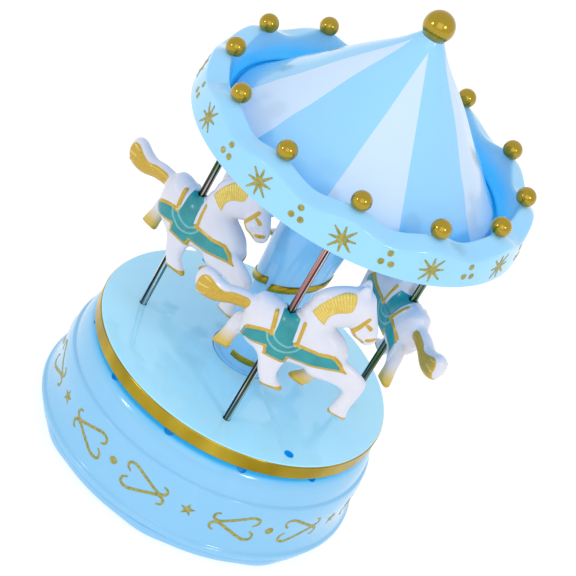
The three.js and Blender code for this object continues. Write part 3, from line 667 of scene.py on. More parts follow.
def housing():
    """The hollow shell of the base, with a bead at its foot, a step at its shoulder and a ring of
    vents under the turntable."""
    outer = offset(BEAD_R, HOUSING_LOW, [(-1.1, 0), (-0.35, 0.3)])
    outer += smooth_rows([
        *offset(BEAD_R, HOUSING_LOW, [(0, 1.0), (-0.15, 1.9), (-0.9, 2.7), (-1.25, 4.0)]),
        (BELLY_R + 0.05, HOUSING_LOW + 6.8),
        *offset(BELLY_R, 0, [(-0.1, 15.3), (0, 19.6)]),
        *offset(BELLY_R, SHOULDER_Z, [(-0.35, -1.1), (-0.8, -0.25)]),
    ])
    outer += smooth_rows([
        *offset(BELLY_R, SHOULDER_Z, [(-1.25, 0), (-1.35, 0.7)]),
        *offset(BELLY_R, 0, [(-1.75, 27.6), (-2.6, 30.2), (-3.6, 31.7)]),
        *offset(NECK_R, 0, [(0.5, 32.5), (0, 33.4), (0, HOUSING_TOP)]),
    ])
    inner = [
        *offset(WELL_R, HOUSING_TOP, [(0, 0), (0, -1.8)]),
        (NECK_R - 1.8, HOUSING_TOP - 1.8),
        (NECK_R - 1.6, 31.5),
        *offset(BELLY_R, 0, [(-4.2, 28.5), (-2.3, 22), (-2.3, 12)]),
        (BEAD_R - 2.9, HOUSING_LOW),
    ]
    piece = new_piece("base_shell", *turned(outer + inner, 288), "blue_plastic")
    spots = []
    for i in range(VENTS):
        azimuth = VENT_AZ + 360 * i / VENTS
        spots.append((polar(NECK_R + 0.7, azimuth, VENT_Z), azimuth))
    bored(piece, bars("vent cutter", spots, VENT_R, -1.7, 4.5, VENT_TILT))
    return fitted(piece, "base", "blue_plastic", "base_housing")


FOOT_LOBES = 8
FOOT_LOBE_DEPTH = 0.7
FOOT_GROOVES = (9.6, 28.6)  # where the two ring-shaped grooves under the foot start


def winding_foot():
    """The bottom cover that is gripped by its lobes to wind the spring."""
    radius = FOOT_R - FOOT_LOBE_DEPTH
    top = HOUSING_LOW - 0.3
    rows = [(0, FOOT_LOW)]
    for start in FOOT_GROOVES:
        rows += [(start, FOOT_LOW), (start + 0.2, FOOT_LOW + 0.4)]
        rows += [(start + 1.0, FOOT_LOW + 0.4), (start + 1.2, FOOT_LOW)]
    first_waved = len(rows)
    rows += smooth_rows([
        *offset(radius, FOOT_LOW, [(-3.2, 0), (-1.6, 0.15), (-0.5, 0.9), (0, 2.2)]),
        *offset(radius, top, [(0, -0.5), (-0.4, 0)]),
    ])
    rows += [(radius - 2.4, top), (radius - 2.6, FOOT_LOW + 1.8), (0, FOOT_LOW + 1.8)]

    def lobes(row, azimuth):
        if not first_waved <= row + 1 < len(rows) - 2:
            return 0.0, 0.0
        crest = math.cos(math.radians(FOOT_LOBES * (azimuth - 90)))
        return FOOT_LOBE_DEPTH * max(0.0, crest) ** 2, 0.0

    piece = new_piece("winding_cover", *turned(rows, 288, lobes), "blue_plastic")
    return fitted(piece, "winding_foot", "blue_plastic", "winding_foot")


# ---- Turntable ------------------------------------------------------------------------------

FLANGE_R = 10.2
STOPPER_R = 1.45
STOPPER_AT = 40.4
STOPPER_AZ = 37
BORE_DEPTH = 1.5


def turntable():
    """The deck, with its stopper holes, the pole sockets and the seat of the column's flange."""
    edge = DECK_R - 1.2
    lip = DECK_R - 0.3  # the deck reaches over the top of the rim
    low = DECK_Z - 2.2
    rows = [(0, low - 9.5), (4.4, low - 9.5), (5, low - 9.0), (5, low)]
    rows += offset(edge, low, [(-2.4, 0), (-2.4, -0.9), (-1, -0.9), (-1, 0), (0, 0)])
    rows += [(edge, DECK_Z - 0.45)]
    rows += offset(lip, DECK_Z, [(0, -0.45), (0.02, -0.25), (-0.1, -0.08), (-0.4, 0)])
    rows += offset(FLANGE_R, DECK_Z, [(0.42, 0), (0.3, -0.1), (0.3, -1.4)])
    rows += [(0, DECK_Z - 1.4)]
    piece = new_piece("turntable_plate", *turned(rows, 256), "deck")
    stoppers = (STOPPER_AZ, STOPPER_AZ + 180)
    holes = [(polar(STOPPER_AT, azimuth, DECK_Z), azimuth) for azimuth in stoppers]
    bored(piece, bars("stopper cutter", holes, STOPPER_R, -BORE_DEPTH, 2))
    sockets = [((POLE_AT[name].x, POLE_AT[name].y, DECK_Z), 0) for name in HORSES]
    bored(piece, bars("socket cutter", sockets, POLE_R + 0.14, -BORE_DEPTH, 2))
    fitted(piece, "carousel", "blue_plastic", "turntable_deck")

    rim_low = box_mm("deck_rim")[0].z
    rows = smooth_rows([
        *offset(DECK_R, rim_low, [(-0.9, 0.1), (-0.5, 0), (-0.06, 0.3), (-0.05, 1.6)]),
        *offset(DECK_R, DECK_Z, [(-0.05, -1.3), (0, -0.9), (-0.06, -0.66), (-0.32, -0.4)]),
        (DECK_R - 0.9, DECK_Z - 0.46),
    ], 5)
    rim = new_piece("gold_rim", *turned(rows, 256), "gold_foil", 50)
    fitted(rim, "carousel", "gold_foil", "deck_rim")


# ---- Column ---------------------------------------------------------------------------------

HEM_Z = DECK_Z + 29.4  # middle height of the slanting hem
HEM_RISE = 4.9
HEM_WIDTH = 2.6
HEM_PROFILE = [  # (out from the drum, up from the hem's lower edge)
    (-0.3, 0.1),
    (0.16, -0.02),
    (0.3, 0.25),
    (0.3, HEM_WIDTH - 0.35),
    (0.18, HEM_WIDTH),
    (-0.3, HEM_WIDTH),
]
DRAPE_FOOT_R = 8.6
HEM_SPANS = {"hem_front": (-24, 150), "hem_back": (157, 329)}  # from and to, in degrees
FOOT_RING_SPAN = (-25.5, 259.5)  # its ends leave a gap


def hem_at(azimuth):
    """Height of the hem's lower edge: highest on the right, stepped at the drape's free edge."""
    step = 1.7 * max(0.0, 1 - abs((azimuth + 33 + 180) % 360 - 180) / 60)
    behind = 1.0 if (azimuth + 27) % 360 > 180 else 0.0
    return HEM_Z + HEM_RISE * math.sin(math.radians(azimuth)) + step * behind


def drum_radius(height, azimuth):
    """Radius of the column: a waist under the hem, and a drum above it that widens upwards."""
    over = height - hem_at(azimuth)
    drum = DRAPE_FOOT_R + 1.05 + 0.85 * min(1.0, max(0.0, over / 14))
    share = min(1.0, max(0.0, (over + 0.5) / 0.5))
    return DRAPE_FOOT_R + (drum - DRAPE_FOOT_R) * share


def column():
    """The centre column: a drum over a narrower stem, with its flange let into the deck."""
    heights = [RING_TOP + 0.4, RING_TOP + 6, RING_TOP + 14]
    heights += [HEM_Z - 6 + 0.35 * i for i in range(48)]
    heights += [HEM_Z + 14, HEM_Z + 22, COLUMN_TOP - 4, COLUMN_TOP]
    rows = [(0, COLUMN_LOW), (FLANGE_R, COLUMN_LOW)]
    rows += [(FLANGE_R, DECK_Z - 0.12), (FLANGE_R - 0.15, DECK_Z)]
    rows += [(DRAPE_FOOT_R - 0.1, DECK_Z), (DRAPE_FOOT_R - 0.1, RING_TOP)]
    fixed = len(rows)
    rows += [(0.001, height) for height in heights]
    rows += [(0, COLUMN_TOP)]

    def drum(row, azimuth):
        place = row + 1
        if not fixed <= place < len(rows) - 1:
            return 0.0, 0.0
        return drum_radius(rows[place][1], azimuth) - rows[place][0], 0.0

    piece = new_piece("column_drum", *turned(rows, 160, drum), "column", 40)
    fitted(piece, "carousel", "blue_plastic", "centre_column")


def strip(name, start, end, section):
    """A strip of foil bent round the axis: section gives its outline of (radius, height) at an
    azimuth and at a share of the way from its start."""
    steps = int(abs(end - start) / 2.5)
    points, faces = [], []
    for i in range(steps + 1):
        azimuth = start + (end - start) * i / steps
        outline = section(azimuth, i / steps)
        points += [polar(radius, azimuth + lean, height) for radius, height, lean in outline]
    size = len(outline)
    for i in range(steps):
        for k in range(size):
            n = (k + 1) % size
            faces.append((i * size + k, i * size + n, (i + 1) * size + n, (i + 1) * size + k))
    faces.append(tuple(range(size)))
    faces.append(tuple(reversed(range(steps * size, steps * size + size))))
    return new_piece(name, points, faces, "gold_foil", 40)


def hem_section(azimuth, share):
    """The hem's section: its two ends slant."""
    slant = 3.0 * (max(0.0, 1 - share * 20) - 0.6 * max(0.0, 1 - (1 - share) * 20))
    outline = []
    for out, up in HEM_PROFILE:
        lean = slant * up / HEM_WIDTH
        z = hem_at(azimuth + lean) + up
        outline.append((drum_radius(z + 0.6, azimuth + lean) + out, z, lean))
    return outline


def ring_section(azimuth, share):
    inner, outer, low, high = DRAPE_FOOT_R - 0.4, RING_R - 0.05, RING_LOW + 0.7, RING_TOP + 0.5
    line = [(inner, low), *offset(outer, low, [(-0.2, -0.02), (0, 0.3)])]
    line += [*offset(outer, high, [(0, -0.3), (-0.2, 0.02)]), (inner, high)]
    return [(radius, height, 0.0) for radius, height in smooth_line(line, 3)]


def column_trim():
    for name, span in HEM_SPANS.items():
        fitted(strip(name, *span, hem_section), "carousel", "gold_foil")
    ring = strip("foot_ring", *FOOT_RING_SPAN, ring_section)
    fitted(ring, "carousel", "gold_foil", "column_foot_ring")


# ---- Canopy ---------------------------------------------------------------------------------

CREST = 1.3  # half the height of the scallops of the crown
CEILING_GROOVES = [(14.6, 29.6), (36.2, 44.8)]  # the recessed rings under the ceiling


def canopy():
    """The ceiling with its moulded rings, and the scalloped crown round it."""
    low, high = CEILING_Z, box_mm("canopy_ceiling")[1].z
    edge = box_mm("canopy_ceiling")[1].x
    rows = [(0, low + 0.3), (12.6, low + 0.3), (12.8, low)]
    for start, end in CEILING_GROOVES:
        rows += [(start, low), (start + 0.2, low + 0.35), (end, low + 0.35), (end + 0.2, low)]
    rows += [(edge, low), (edge, high), (0, high)]
    ceiling = new_piece("ceiling_plate", *turned(rows, 192), "canopy")
    fitted(ceiling, "carousel", "blue_plastic", "canopy_ceiling")

    # The last two numbers say how far a row goes out and up with the crests.
    rows = smooth_rows(offset(FASCIA_R, CEILING_Z, [
        (-0.5, 0, 0, 0), (-0.12, 0.12, 0, 0), (0, 0.5, 0, 0), (-0.3, 3.2, 0, 0.05),
        (-0.75, 6.6, 0, 0.35), (-0.95, 8.2, 0.05, 0.7), (-1.3, 8.9, 0.1, 0.8),
        (-2.4, 9.5, 0.25, 0.85), (-4.6, 10.4, 0.45, 1), (-5.9, 10.85, 0.5, 1),
        (-6.35, 10.7, 0.5, 1),
    ]), 5)
    rows += smooth_rows([
        *offset(FASCIA_R, CEILING_Z, [
            (-6.6, 10.2, 0.5, 1), (-7.3, 8.2, 0.4, 0.7), (-8.4, 5.4, 0.1, 0.2),
        ]),
        (CONE_R + 0.5, CEILING_Z + 3.9, 0, 0),
    ], 5)
    rows += [(CONE_R + 0.4, CEILING_Z + 3.4, 0, 0)]
    rows += offset(FASCIA_R, CEILING_Z, [(-1.8, 3.4, 0, 0), (-1.6, 0, 0, 0)])

    def scallops(row, azimuth):
        crest = math.cos(math.radians(BALLS * (azimuth - BALL_AZ)))
        return rows[row][2] * crest, rows[row][3] * CREST * crest

    shape = turned([row[:2] for row in rows], 480, scallops)
    piece = new_piece("canopy_crown", *shape, "canopy", 38)
    return fitted(piece, "carousel", "blue_plastic", "canopy_fascia")


def roof():
    """The cone: rounded at its foot, nearly straight above, with a collar under the finial."""
    outer = offset(CONE_R, CONE_LOW, [(-0.6, 0), (-0.2, 0.1)])
    outer += smooth_rows([
        *offset(CONE_R, CONE_LOW, [
            (0, 0.5), (-1.0, 2.0), (-3.1, 4.0), (-6.2, 7.3), (-10, 11.7), (-14.4, 16.2),
            (-22.4, 25.2), (-31.4, 34.2), (-35.1, 38.6),
        ]),
        *offset(CONE_R, CONE_TOP, [(-36.4, -0.6), (-36.7, 0)]),
    ])
    inner = [(1.5, CONE_TOP), (1.5, CONE_TOP - 4), (CONE_R - 35.5, CONE_TOP - 5)]
    inner += offset(CONE_R, CONE_LOW, [(-16, 16.2), (-4.8, 3.8), (-1.6, 0)])
    piece = new_piece("roof_cone", *turned(outer + inner, 256), "striped_plastic")
    return fitted(piece, "carousel", "striped_plastic", "cone_roof")


def ball_rows(radius, centre, flat, seam):
    """A ball cut flat at its foot, with a fine parting line round its middle."""
    rows = [(0, centre + flat)]
    first = math.asin(flat / radius)
    steps = 30
    for i in range(steps):
        angle = first + (TURN / 4 - first) * i / steps
        ridge = seam * math.exp(-((angle / 0.035) ** 2))
        reach = radius + ridge
        rows.append((reach * math.cos(angle), centre + reach * math.sin(angle)))
    return [*rows, (0, centre + radius)]


def finial():
    rows = ball_rows(FINIAL_R, FINIAL_Z, -FINIAL_R + 0.45, 0.05)
    piece = new_piece("finial", *turned(rows, 96), "gold_paint")
    low, high, thin = CONE_TOP - 4, FINIAL_Z - 2, 1.2
    stem_rows = [(0, low), (thin, low), (thin, high), (0, high)]
    stem = new_piece("finial_stem", *turned(stem_rows, 24), "gold_paint")
    merged(piece, stem)
    return fitted(piece, "carousel", "gold_paint", "finial_ball")


def merged(piece, extra):
    """Adds the other piece's mesh to the first one."""
    work = bmesh.new()
    work.from_mesh(piece.data)
    work.from_mesh(extra.data)
    work.to_mesh(piece.data)
    work.free()
    bpy.data.objects.remove(extra)
    return piece


# ---- Repeats made by Geometry Nodes -----------------------------------------------------------


def ring_tree(name):
    """Copies a stamp round the axis. The stamp's X runs along the circumference, its Z is up and
    its -Y is outwards; where Wrap is on, the copies bend to the radius and lie on the surface."""
    tree = bpy.data.node_groups.new(name, "GeometryNodeTree")
    face = tree.interface
    face.new_socket("Geometry", in_out="INPUT", socket_type="NodeSocketGeometry")
    for label, kind in (
        ("Count", "NodeSocketInt"),
        ("Radius", "NodeSocketFloat"),
        ("Height", "NodeSocketFloat"),
        ("First azimuth", "NodeSocketFloat"),
        ("Surface", "NodeSocketObject"),
        ("Finish", "NodeSocketMaterial"),
    ):
        face.new_socket(label, in_out="INPUT", socket_type=kind)
    face.new_socket("Geometry", in_out="OUTPUT", socket_type="NodeSocketGeometry")
    return tree


def ring_nodes(tree, wrap):
    graph = Graph(tree)
    entry = tree.nodes.new("NodeGroupInput")
    given = {socket.name: Value(graph, socket) for socket in entry.outputs if socket.name}
    index = graph.add("GeometryNodeInputIndex")
    step = TURN / given["Count"]
    spots = graph.add("GeometryNodePoints", None, {"Count": given["Count"]})
    copies = graph.add(
        "GeometryNodeInstanceOnPoints", None, {"Points": spots, "Instance": given["Geometry"]}
    )
    store = {"data_type": "FLOAT", "domain": "INSTANCE"}
    kept = {"Geometry": copies, "Name": "copy", "Value": index}
    counted = graph.add("GeometryNodeStoreNamedAttribute", store, kept)
    real = graph.add("GeometryNodeRealizeInstances", None, {0: counted})
    number = graph.add("GeometryNodeInputNamedAttribute", {"data_type": "FLOAT"}, {"Name": "copy"})
    x, y, z = graph.split(graph.add("GeometryNodeInputPosition"))
    angle = given["First azimuth"] + number * step
    if wrap:
        angle = angle + x / given["Radius"]
    sine, cosine = angle.math("SINE"), angle.math("COSINE")
    rise = z + given["Height"]
    if wrap:
        target = graph.add("GeometryNodeObjectInfo", None, {"Object": given["Surface"]}, "Geometry")
        foot = graph.join(given["Radius"] * sine, given["Radius"] * cosine * -1.0, rise)
        nearest = {0: target, "Sample Position": foot}
        near = graph.add("GeometryNodeProximity", {"target_element": "FACES"}, nearest)
        outward = graph.join(sine, cosine * -1.0, 0.0)
        lift = graph.vector("SCALE", {0: outward, "Scale": y * -1.0})
        placed = graph.vector("ADD", {0: near, 1: lift})
    else:
        out = given["Radius"] - y
        placed = graph.join(out * sine + x * cosine, x * sine - out * cosine, rise)
    moved = graph.add("GeometryNodeSetPosition", None, {"Geometry": real, "Position": placed})
    clean = graph.add("GeometryNodeRemoveAttribute", None, {"Geometry": moved, "Name": "copy"})
    chosen = {"Geometry": clean, "Material": given["Finish"]}
    dressed = graph.add("GeometryNodeSetMaterial", None, chosen)
    leave = tree.nodes.new("NodeGroupOutput")
    tree.links.new(dressed.socket, leave.inputs[0])


RING_TREES = {}
for wrap_on, label in ((True, "prints round a surface"), (False, "copies round the axis")):
    RING_TREES[wrap_on] = ring_tree(label)
    ring_nodes(RING_TREES[wrap_on], wrap_on)


def ring_of(stamp, finish, count, radius, height, first, surface=None):
    """Runs the ring tree on a stamp, and leaves a plain mesh."""
    tree = RING_TREES[surface is not None]
    modifier = stamp.modifiers.new("ring", "NODES")
    modifier.node_group = tree
    chosen = {
        "Count": count,
        "Radius": radius * MM,
        "Height": height * MM,
        "First azimuth": math.radians(first),
        "Surface": surface,
        "Finish": FINISHES[finish],
    }
    for item in tree.interface.items_tree:
        if item.in_out == "INPUT" and item.name in chosen:
            modifier[item.identifier] = chosen[item.name]
    baked(stamp)
    return stamp


def crown_balls():
    rows = ball_rows(BALL_R, 0, -BALL_R * 0.62, 0.035)
    stamp = new_piece("crown_balls", *turned(rows, 64), "gold_paint")
    ring_of(stamp, "gold_paint", BALLS, BALL_CIRCLE, BALL_Z, BALL_AZ)
    names = [f"crown_ball_{i + 1}" for i in range(BALLS)]
    return fitted(stamp, "carousel", "gold_paint", *names)


INK = 0.07  # how far a print stands off its surface
BELLY_PRINT_Z = 15.9
SPARK_Z = 115.2
CLUSTER_Z = 114.9


def inked(outlines):
    """Points and faces of flat closed outlines of (across, up), given the thickness of the ink."""
    points, faces = [], []
    for outline in outlines:
        first, count = len(points), len(outline)
        for lift in (-INK, INK):
            points += [(across, -lift, up) for across, up in outline]
        faces.append(tuple(range(first, first + count)))
        faces.append(tuple(reversed(range(first + count, first + 2 * count))))
        for k in range(count):
            n = (k + 1) % count
            faces.append((first + k, first + n, first + count + n, first + count + k))
    return points, faces


def stroke(line, width, steps=8):
    """Quads along a curve, narrower at its ends, as separate short outlines for inked."""
    curve = smooth_line(line, steps)
    along = np.gradient(curve, axis=0)
    across = np.stack([-along[:, 1], along[:, 0]], 1) / np.linalg.norm(along, axis=1)[:, None]
    share = np.linspace(0, 1, len(curve))
    half = width / 2 * (0.42 + 0.58 * np.sin(np.pi * share) ** 0.5)
    left, right = curve + across * half[:, None], curve - across * half[:, None]
    return [tuple(p) for p in left], [tuple(p) for p in right]


def stroked(lines, width):
    """Closed strips with the thickness of the ink along several curves."""
    points, faces = [], []
    for line in lines:
        left, right = stroke(line, width)
        first = len(points)
        for a, b in zip(left, right):
            for (across, up), lift in ((a, -INK), (b, -INK), (b, INK), (a, INK)):
                points.append((across, -lift, up))
        count = len(left)
        for i in range(count - 1):
            for k in range(4):
                n = (k + 1) % 4
                a, b = first + 4 * i, first + 4 * i + 4
                faces.append((a + k, a + n, b + n, b + k))
        faces.append((first, first + 1, first + 2, first + 3))
        last = first + 4 * (count - 1)
        faces.append((last + 3, last + 2, last + 1, last))
    return points, faces


def disc(radius, across=0.0, up=0.0, sides=28):
    angles = [TURN * i / sides for i in range(sides)]
    return [(across + radius * math.cos(a), up + radius * math.sin(a)) for a in angles]


def star(points, outer, inner):
    """A star outline with one point straight up."""
    line = []
    for i in range(2 * points):
        radius = inner if i % 2 else outer
        angle = TURN / 4 + TURN * i / (2 * points)
        line.append((radius * math.cos(angle), radius * math.sin(angle)))
    return line


def spark():
    """Eight tapering rays of uneven length from a small heart."""
    line = []
    for i in range(8):
        middle = TURN * (i + 0.18) / 8
        reach = 4.2 if i % 2 else 3.6
        for radius, aside in ((1.3, -0.46), (reach, -0.22), (reach, 0.22), (1.3, 0.46)):
            line.append((
                radius * math.cos(middle) - aside * math.sin(middle),
                radius * math.sin(middle) + aside * math.cos(middle),
            ))
    return line


HEART_STROKE = [  # one half of a heart: its tip curls outwards, its lobe curls inwards
    (-3.8, 3.2), (-5.0, 2.7), (-5.3, 1.4), (-4.4, 0.5), (-2.9, 0.42), (-0.2, 1.6), (2.7, 3.0),
    (5.6, 4.15), (7.7, 3.8), (8.0, 2.2), (6.6, 1.0),
]


def prints(shell, crown):
    """Gold prints: stars, dots and scrolled hearts on the belly, sparks and dots on the fascia."""
    belly = [
        ("belly_stars", inked([star(5, 2.3, 0.95)]), 6, 9.7),
        ("belly_dots", inked([disc(1.25)]), 6, 40),
    ]
    for side, first in ((1, 25), (-1, 55)):
        line = [(side * across, up) for across, up in HEART_STROKE]
        mirror = [(across, -up) for across, up in line]
        belly.append((f"belly_hearts_{first}", stroked([line, mirror], 0.95), 6, first))
    for name, shape, count, first in belly:
        piece = new_piece(name, *shape, "gold_print", 50)
        ring_of(piece, "gold_print", count, BELLY_R, BELLY_PRINT_Z, first, shell)
        fitted(piece, "base", "gold_paint")
    cluster = [disc(0.9, 0, 1.9), disc(0.9, -1.4, -1.0), disc(0.9, 1.4, -1.0)]
    fascia = [
        ("fascia_sparks", inked([spark()]), BALL_AZ, SPARK_Z),
        ("fascia_dots", inked(cluster), BALL_AZ + 180 / BALLS, CLUSTER_Z),
    ]
    for name, shape, first, height in fascia:
        piece = new_piece(name, *shape, "gold_print", 50)
        ring_of(piece, "gold_print", BALLS, FASCIA_R - 0.6, height, first, crown)
        fitted(piece, "carousel", "gold_paint")


# ---- Poles ----------------------------------------------------------------------------------


def poles():
    """Plated tubes with a crimped shoulder where they enter the deck and the ceiling."""
    rows = [(0, POLE_LOW), (POLE_R - 0.25, POLE_LOW), (POLE_R, POLE_LOW + 0.25)]
    rows += [(POLE_R, height) for height in np.linspace(POLE_LOW + 1, POLE_TOP - 1, 31)]
    rows += [(POLE_R, POLE_TOP - 0.25), (POLE_R - 0.25, POLE_TOP), (0, POLE_TOP)]
    for name in HORSES:
        points, faces = turned(rows, 32)
        spot = Vector((POLE_AT[name].x, POLE_AT[name].y, 0))
        piece = new_piece(f"tube_{name}", [point + spot for point in points], faces, "chrome")
        length = POLE_TOP - POLE_LOW
        rise = [(vertex.co.z / MM - POLE_LOW) / length for vertex in piece.data.vertices]
        # painted sheen: front says how far the pole stands towards the front, where the rose tint
        # goes
        front = [0.5 - spot.y / spot.length / 2] * len(rise)
        for label, values in (("along", rise), ("front", front)):
            piece.data.attributes.new(label, "FLOAT", "POINT").data.foreach_set("value", values)
        fitted(piece, "carousel", "chrome", f"pole_{name}")


# ---- Horses ---------------------------------------------------------------------------------
# Side views are (forward, up) in millimetres: up is from the deck and the pole is at 0.

TRUNK = [
    (-9.9, 39.6), (-8.6, 41.9), (-6.2, 42.0), (-4.3, 41.0), (0, 40.6), (2.4, 41.6), (3.2, 44.0),
    (8, 44), (12, 41.5), (15.4, 39.2), (18.4, 36), (20.0, 32.6), (19.6, 29.6), (17.6, 27.6),
    (12, 27.0), (7, 26.4), (1, 26.0), (-4.4, 26.2), (-7.6, 28.2), (-9.8, 31.4), (-10.6, 35.4),
]
NECK = [
    (2.6, 41), (2.9, 44.5), (3.0, 47.3), (4.0, 50), (6.2, 52.6), (9.2, 54.7), (12.2, 56.0),
    (15.0, 56.6), (17.6, 55.0), (18.6, 52), (17.0, 47), (15.4, 44.4), (12.6, 42.6), (12.4, 41.4),
    (15, 39.2), (17.6, 35.6), (15, 31), (8, 32), (3.6, 36),
]
HEAD = [
    (12.4, 55.8), (15.0, 56.8), (17.6, 55.8), (19.4, 52.9), (21.6, 49.2), (23.1, 46.4),
    (23.7, 44.2), (23.7, 43.4), (22.9, 42.2), (20.9, 41.4), (18.7, 42.3), (16.6, 44.0),
    (13.6, 46.6), (12.4, 50.5),
]
EAR = [
    (12.5, 55.2), (13.1, 57.4), (13.9, 58.9), (14.9, 58.7), (16.0, 56.6), (16.3, 55.2),
    (14.4, 54.6),
]
TAIL = [
    (-7.8, 39.6), (-11, 39.9), (-14.4, 39.9), (-17.6, 39.3), (-20.3, 40.0), (-22.6, 41.2),
    (-24.8, 41.3), (-26.3, 39.6), (-26.3, 36.4), (-24.4, 33.8), (-21.2, 33.0), (-18.4, 33.4),
    (-15.1, 34.7), (-11.4, 35.3), (-8.2, 35.9),
]
NEAR_HIND = [
    (-6.5, 31), (0, 31.5), (5, 28.8), (4.9, 24.8), (5.3, 21.6), (8.1, 19.2), (8.4, 18.6),
    (7.9, 18.1), (3.0, 17.5), (2.3, 17.7), (-0.2, 21.4), (-2.0, 25.2), (-5.4, 28.6),
]
NEAR_FORE = [
    (10, 31.8), (15, 34.8), (20, 35.4), (25.8, 33.2), (27.5, 31.0), (27.2, 26), (26.9, 22),
    (27.5, 19.2), (27.3, 18.7), (22.2, 18.9), (21.9, 19.4), (22.4, 23), (22.5, 26.8), (18.6, 27.6),
    (12, 27.2),
]
FAR_HIND = [
    (-5, 34), (-10.6, 32.4), (-12.4, 29), (-13.0, 24.6), (-14.0, 20.4), (-13.8, 19.4),
    (-9.4, 19.2), (-9.0, 19.8), (-8.9, 22), (-8.4, 25.2), (-5, 28.4),
]
FAR_FORE = [
    (8.5, 29), (16.5, 28.5), (17.2, 26), (15.6, 22.6), (14.2, 20.0), (13.0, 19.0), (9.0, 20.0),
    (8.8, 21.0), (11.2, 23.4), (11.4, 25),
]
LEGS = [  # outline, sideways place, half its thickness and how wide its edge is rounded
    (NEAR_HIND, -2.9, 1.7, 2.0),
    (NEAR_FORE, -2.7, 1.75, 2.0),
    (FAR_HIND, 2.8, 1.7, 1.9),
    (FAR_FORE, 2.8, 1.6, 1.9),
]
STRAP = [
    (-10.4, 30.7), (-10.3, 30.9), (-8.4, 33.1), (-5.8, 34.6), (-3.1, 35.2), (1.5, 34.9),
    (5.6, 34.8), (11.6, 35.3), (15.7, 36.3), (20.2, 33.5), (20.0, 33.3), (14.5, 31.9), (9.8, 30.1),
    (5.4, 29.6), (5.2, 29.4), (4.9, 27.9), (4.7, 27.7), (-1.0, 27.8), (-1.2, 28.0), (-2.0, 30.1),
    (-2.3, 30.2), (-7.6, 29.0), (-10.2, 26.5), (-10.4, 26.7),
]
FLAP = [
    (-2.0, 41.0), (-1.8, 41.2), (2.9, 41.3), (3.1, 41.1), (3.7, 37.2), (4.1, 32.2), (0.8, 31.6),
    (-1.8, 32.7), (-1.4, 36.2),
]
MANE = [
    (4.6, 45.3), (4.8, 45.1), (9.0, 43.3), (9.1, 43.4), (9.2, 46.2), (10.7, 48.3), (13.5, 50.2),
    (13.8, 52.4), (13.2, 54.9), (12.4, 55.3), (9.9, 54.3), (7.4, 51.6), (5.5, 48.3),
]
TAIL_PAINT = [
    (-10.6, 38.9), (-15.2, 39.0), (-18.1, 38.1), (-20.8, 38.9), (-23.3, 40.3), (-25.3, 39.6),
    (-25.7, 36.4), (-24.6, 32.0), (-20, 31.0), (-15, 32.6), (-11.6, 34.6), (-11.4, 34.8),
]
STRAND_AT = (19.5, 39.2)  # the strands of the mane fan out from here
TAIL_FAN_AT = (-16, 37)
GOLD_LINES = [
    ([(-3.5, 40.4), (-2.9, 38.2), (-2.1, 34.9)], 0.62),
    ([(4.6, 41.4), (5.0, 38.2), (5.5, 34.6)], 0.5),
    ([(18.8, 50.4), (17.7, 47.8), (16.5, 45.3)], 0.58),
    ([(16.6, 45.3), (16.7, 45.2), (18.2, 44.0), (20.5, 43.0)], 0.42),
    ([(21.2, 44.2), (22.0, 44.5), (22.8, 44.9)], 0.58),
    ([(19.3, 48.5), (20.0, 48.2), (20.6, 47.8)], 0.5),
]
RIBS = [  # raised U-shaped piping under the saddle flap
    [(-1.9, 36.2), (-0.9, 34.3), (1.0, 33.1), (3.5, 33.0), (5.2, 34.4)],
    [(-3.2, 34.5), (-1.9, 32.4), (0.6, 30.9), (3.5, 31.0), (5.7, 32.7), (6.5, 34.3)],
]
NEAR_HOOVES = [([(2.6, 17.4), (8.2, 18.2)], 1.5), ([(21.9, 18.8), (27.5, 18.6)], 1.3)]
FAR_HOOVES = [([(-13.8, 19.3), (-9.3, 19.3)], 1.4), ([(8.8, 20.0), (13.2, 18.9)], 1.4)]


def outline_distance(line, across, up, steps=5):
    """Signed distance to a closed smooth outline: negative inside."""
    curve = smooth_line(line, steps, closed=True)
    nearest = np.full(across.shape, 1e9)
    crossings = np.zeros(across.shape, int)
    for (ax, ay), (bx, by) in zip(curve, np.roll(curve, -1, axis=0)):
        dx, dy = bx - ax, by - ay
        share = np.clip(((across - ax) * dx + (up - ay) * dy) / (dx * dx + dy * dy + 1e-12), 0, 1)
        gap = np.hypot(across - ax - share * dx, up - ay - share * dy)
        nearest = np.minimum(nearest, gap)
        straddles = (ay > up) != (by > up)
        reach = ax + (up - ay) * dx / (dy if dy else 1e-12)
        crossings += straddles & (across < reach)
    return np.where(crossings % 2 == 1, -nearest, nearest)


def line_distance(line, across, up, steps=5):
    """Distance to an open smooth curve."""
    curve = smooth_line(line, steps)
    nearest = np.full(across.shape, 1e9)
    for (ax, ay), (bx, by) in zip(curve[:-1], curve[1:]):
        dx, dy = bx - ax, by - ay
        share = np.clip(((across - ax) * dx + (up - ay) * dy) / (dx * dx + dy * dy + 1e-12), 0, 1)
        nearest = np.minimum(nearest, np.hypot(across - ax - share * dx, up - ay - share * dy))
    return nearest


def softened(values, passes):
    """A light blur of a grid, so that a pillow has no crease along its middle."""
    for _ in range(passes):
        wide = np.pad(values, 1, mode="edge")
        beside = wide[:-2, 1:-1] + wide[2:, 1:-1] + wide[1:-1, :-2] + wide[1:-1, 2:]
        values = (beside + 4 * values) / 8
    return values


def blended(first, second, reach):
    """The union of two fields, rounded over reach where they meet."""
    share = np.clip(0.5 + 0.5 * (second - first) / reach, 0, 1)
    return second * (1 - share) + first * share - reach * share * (1 - share)


def ledge(distance, height, soft=0.22):
    """A raised patch inside an outline, with a soft edge."""
    return height * np.clip(0.5 - distance / (2 * soft), 0, 1)


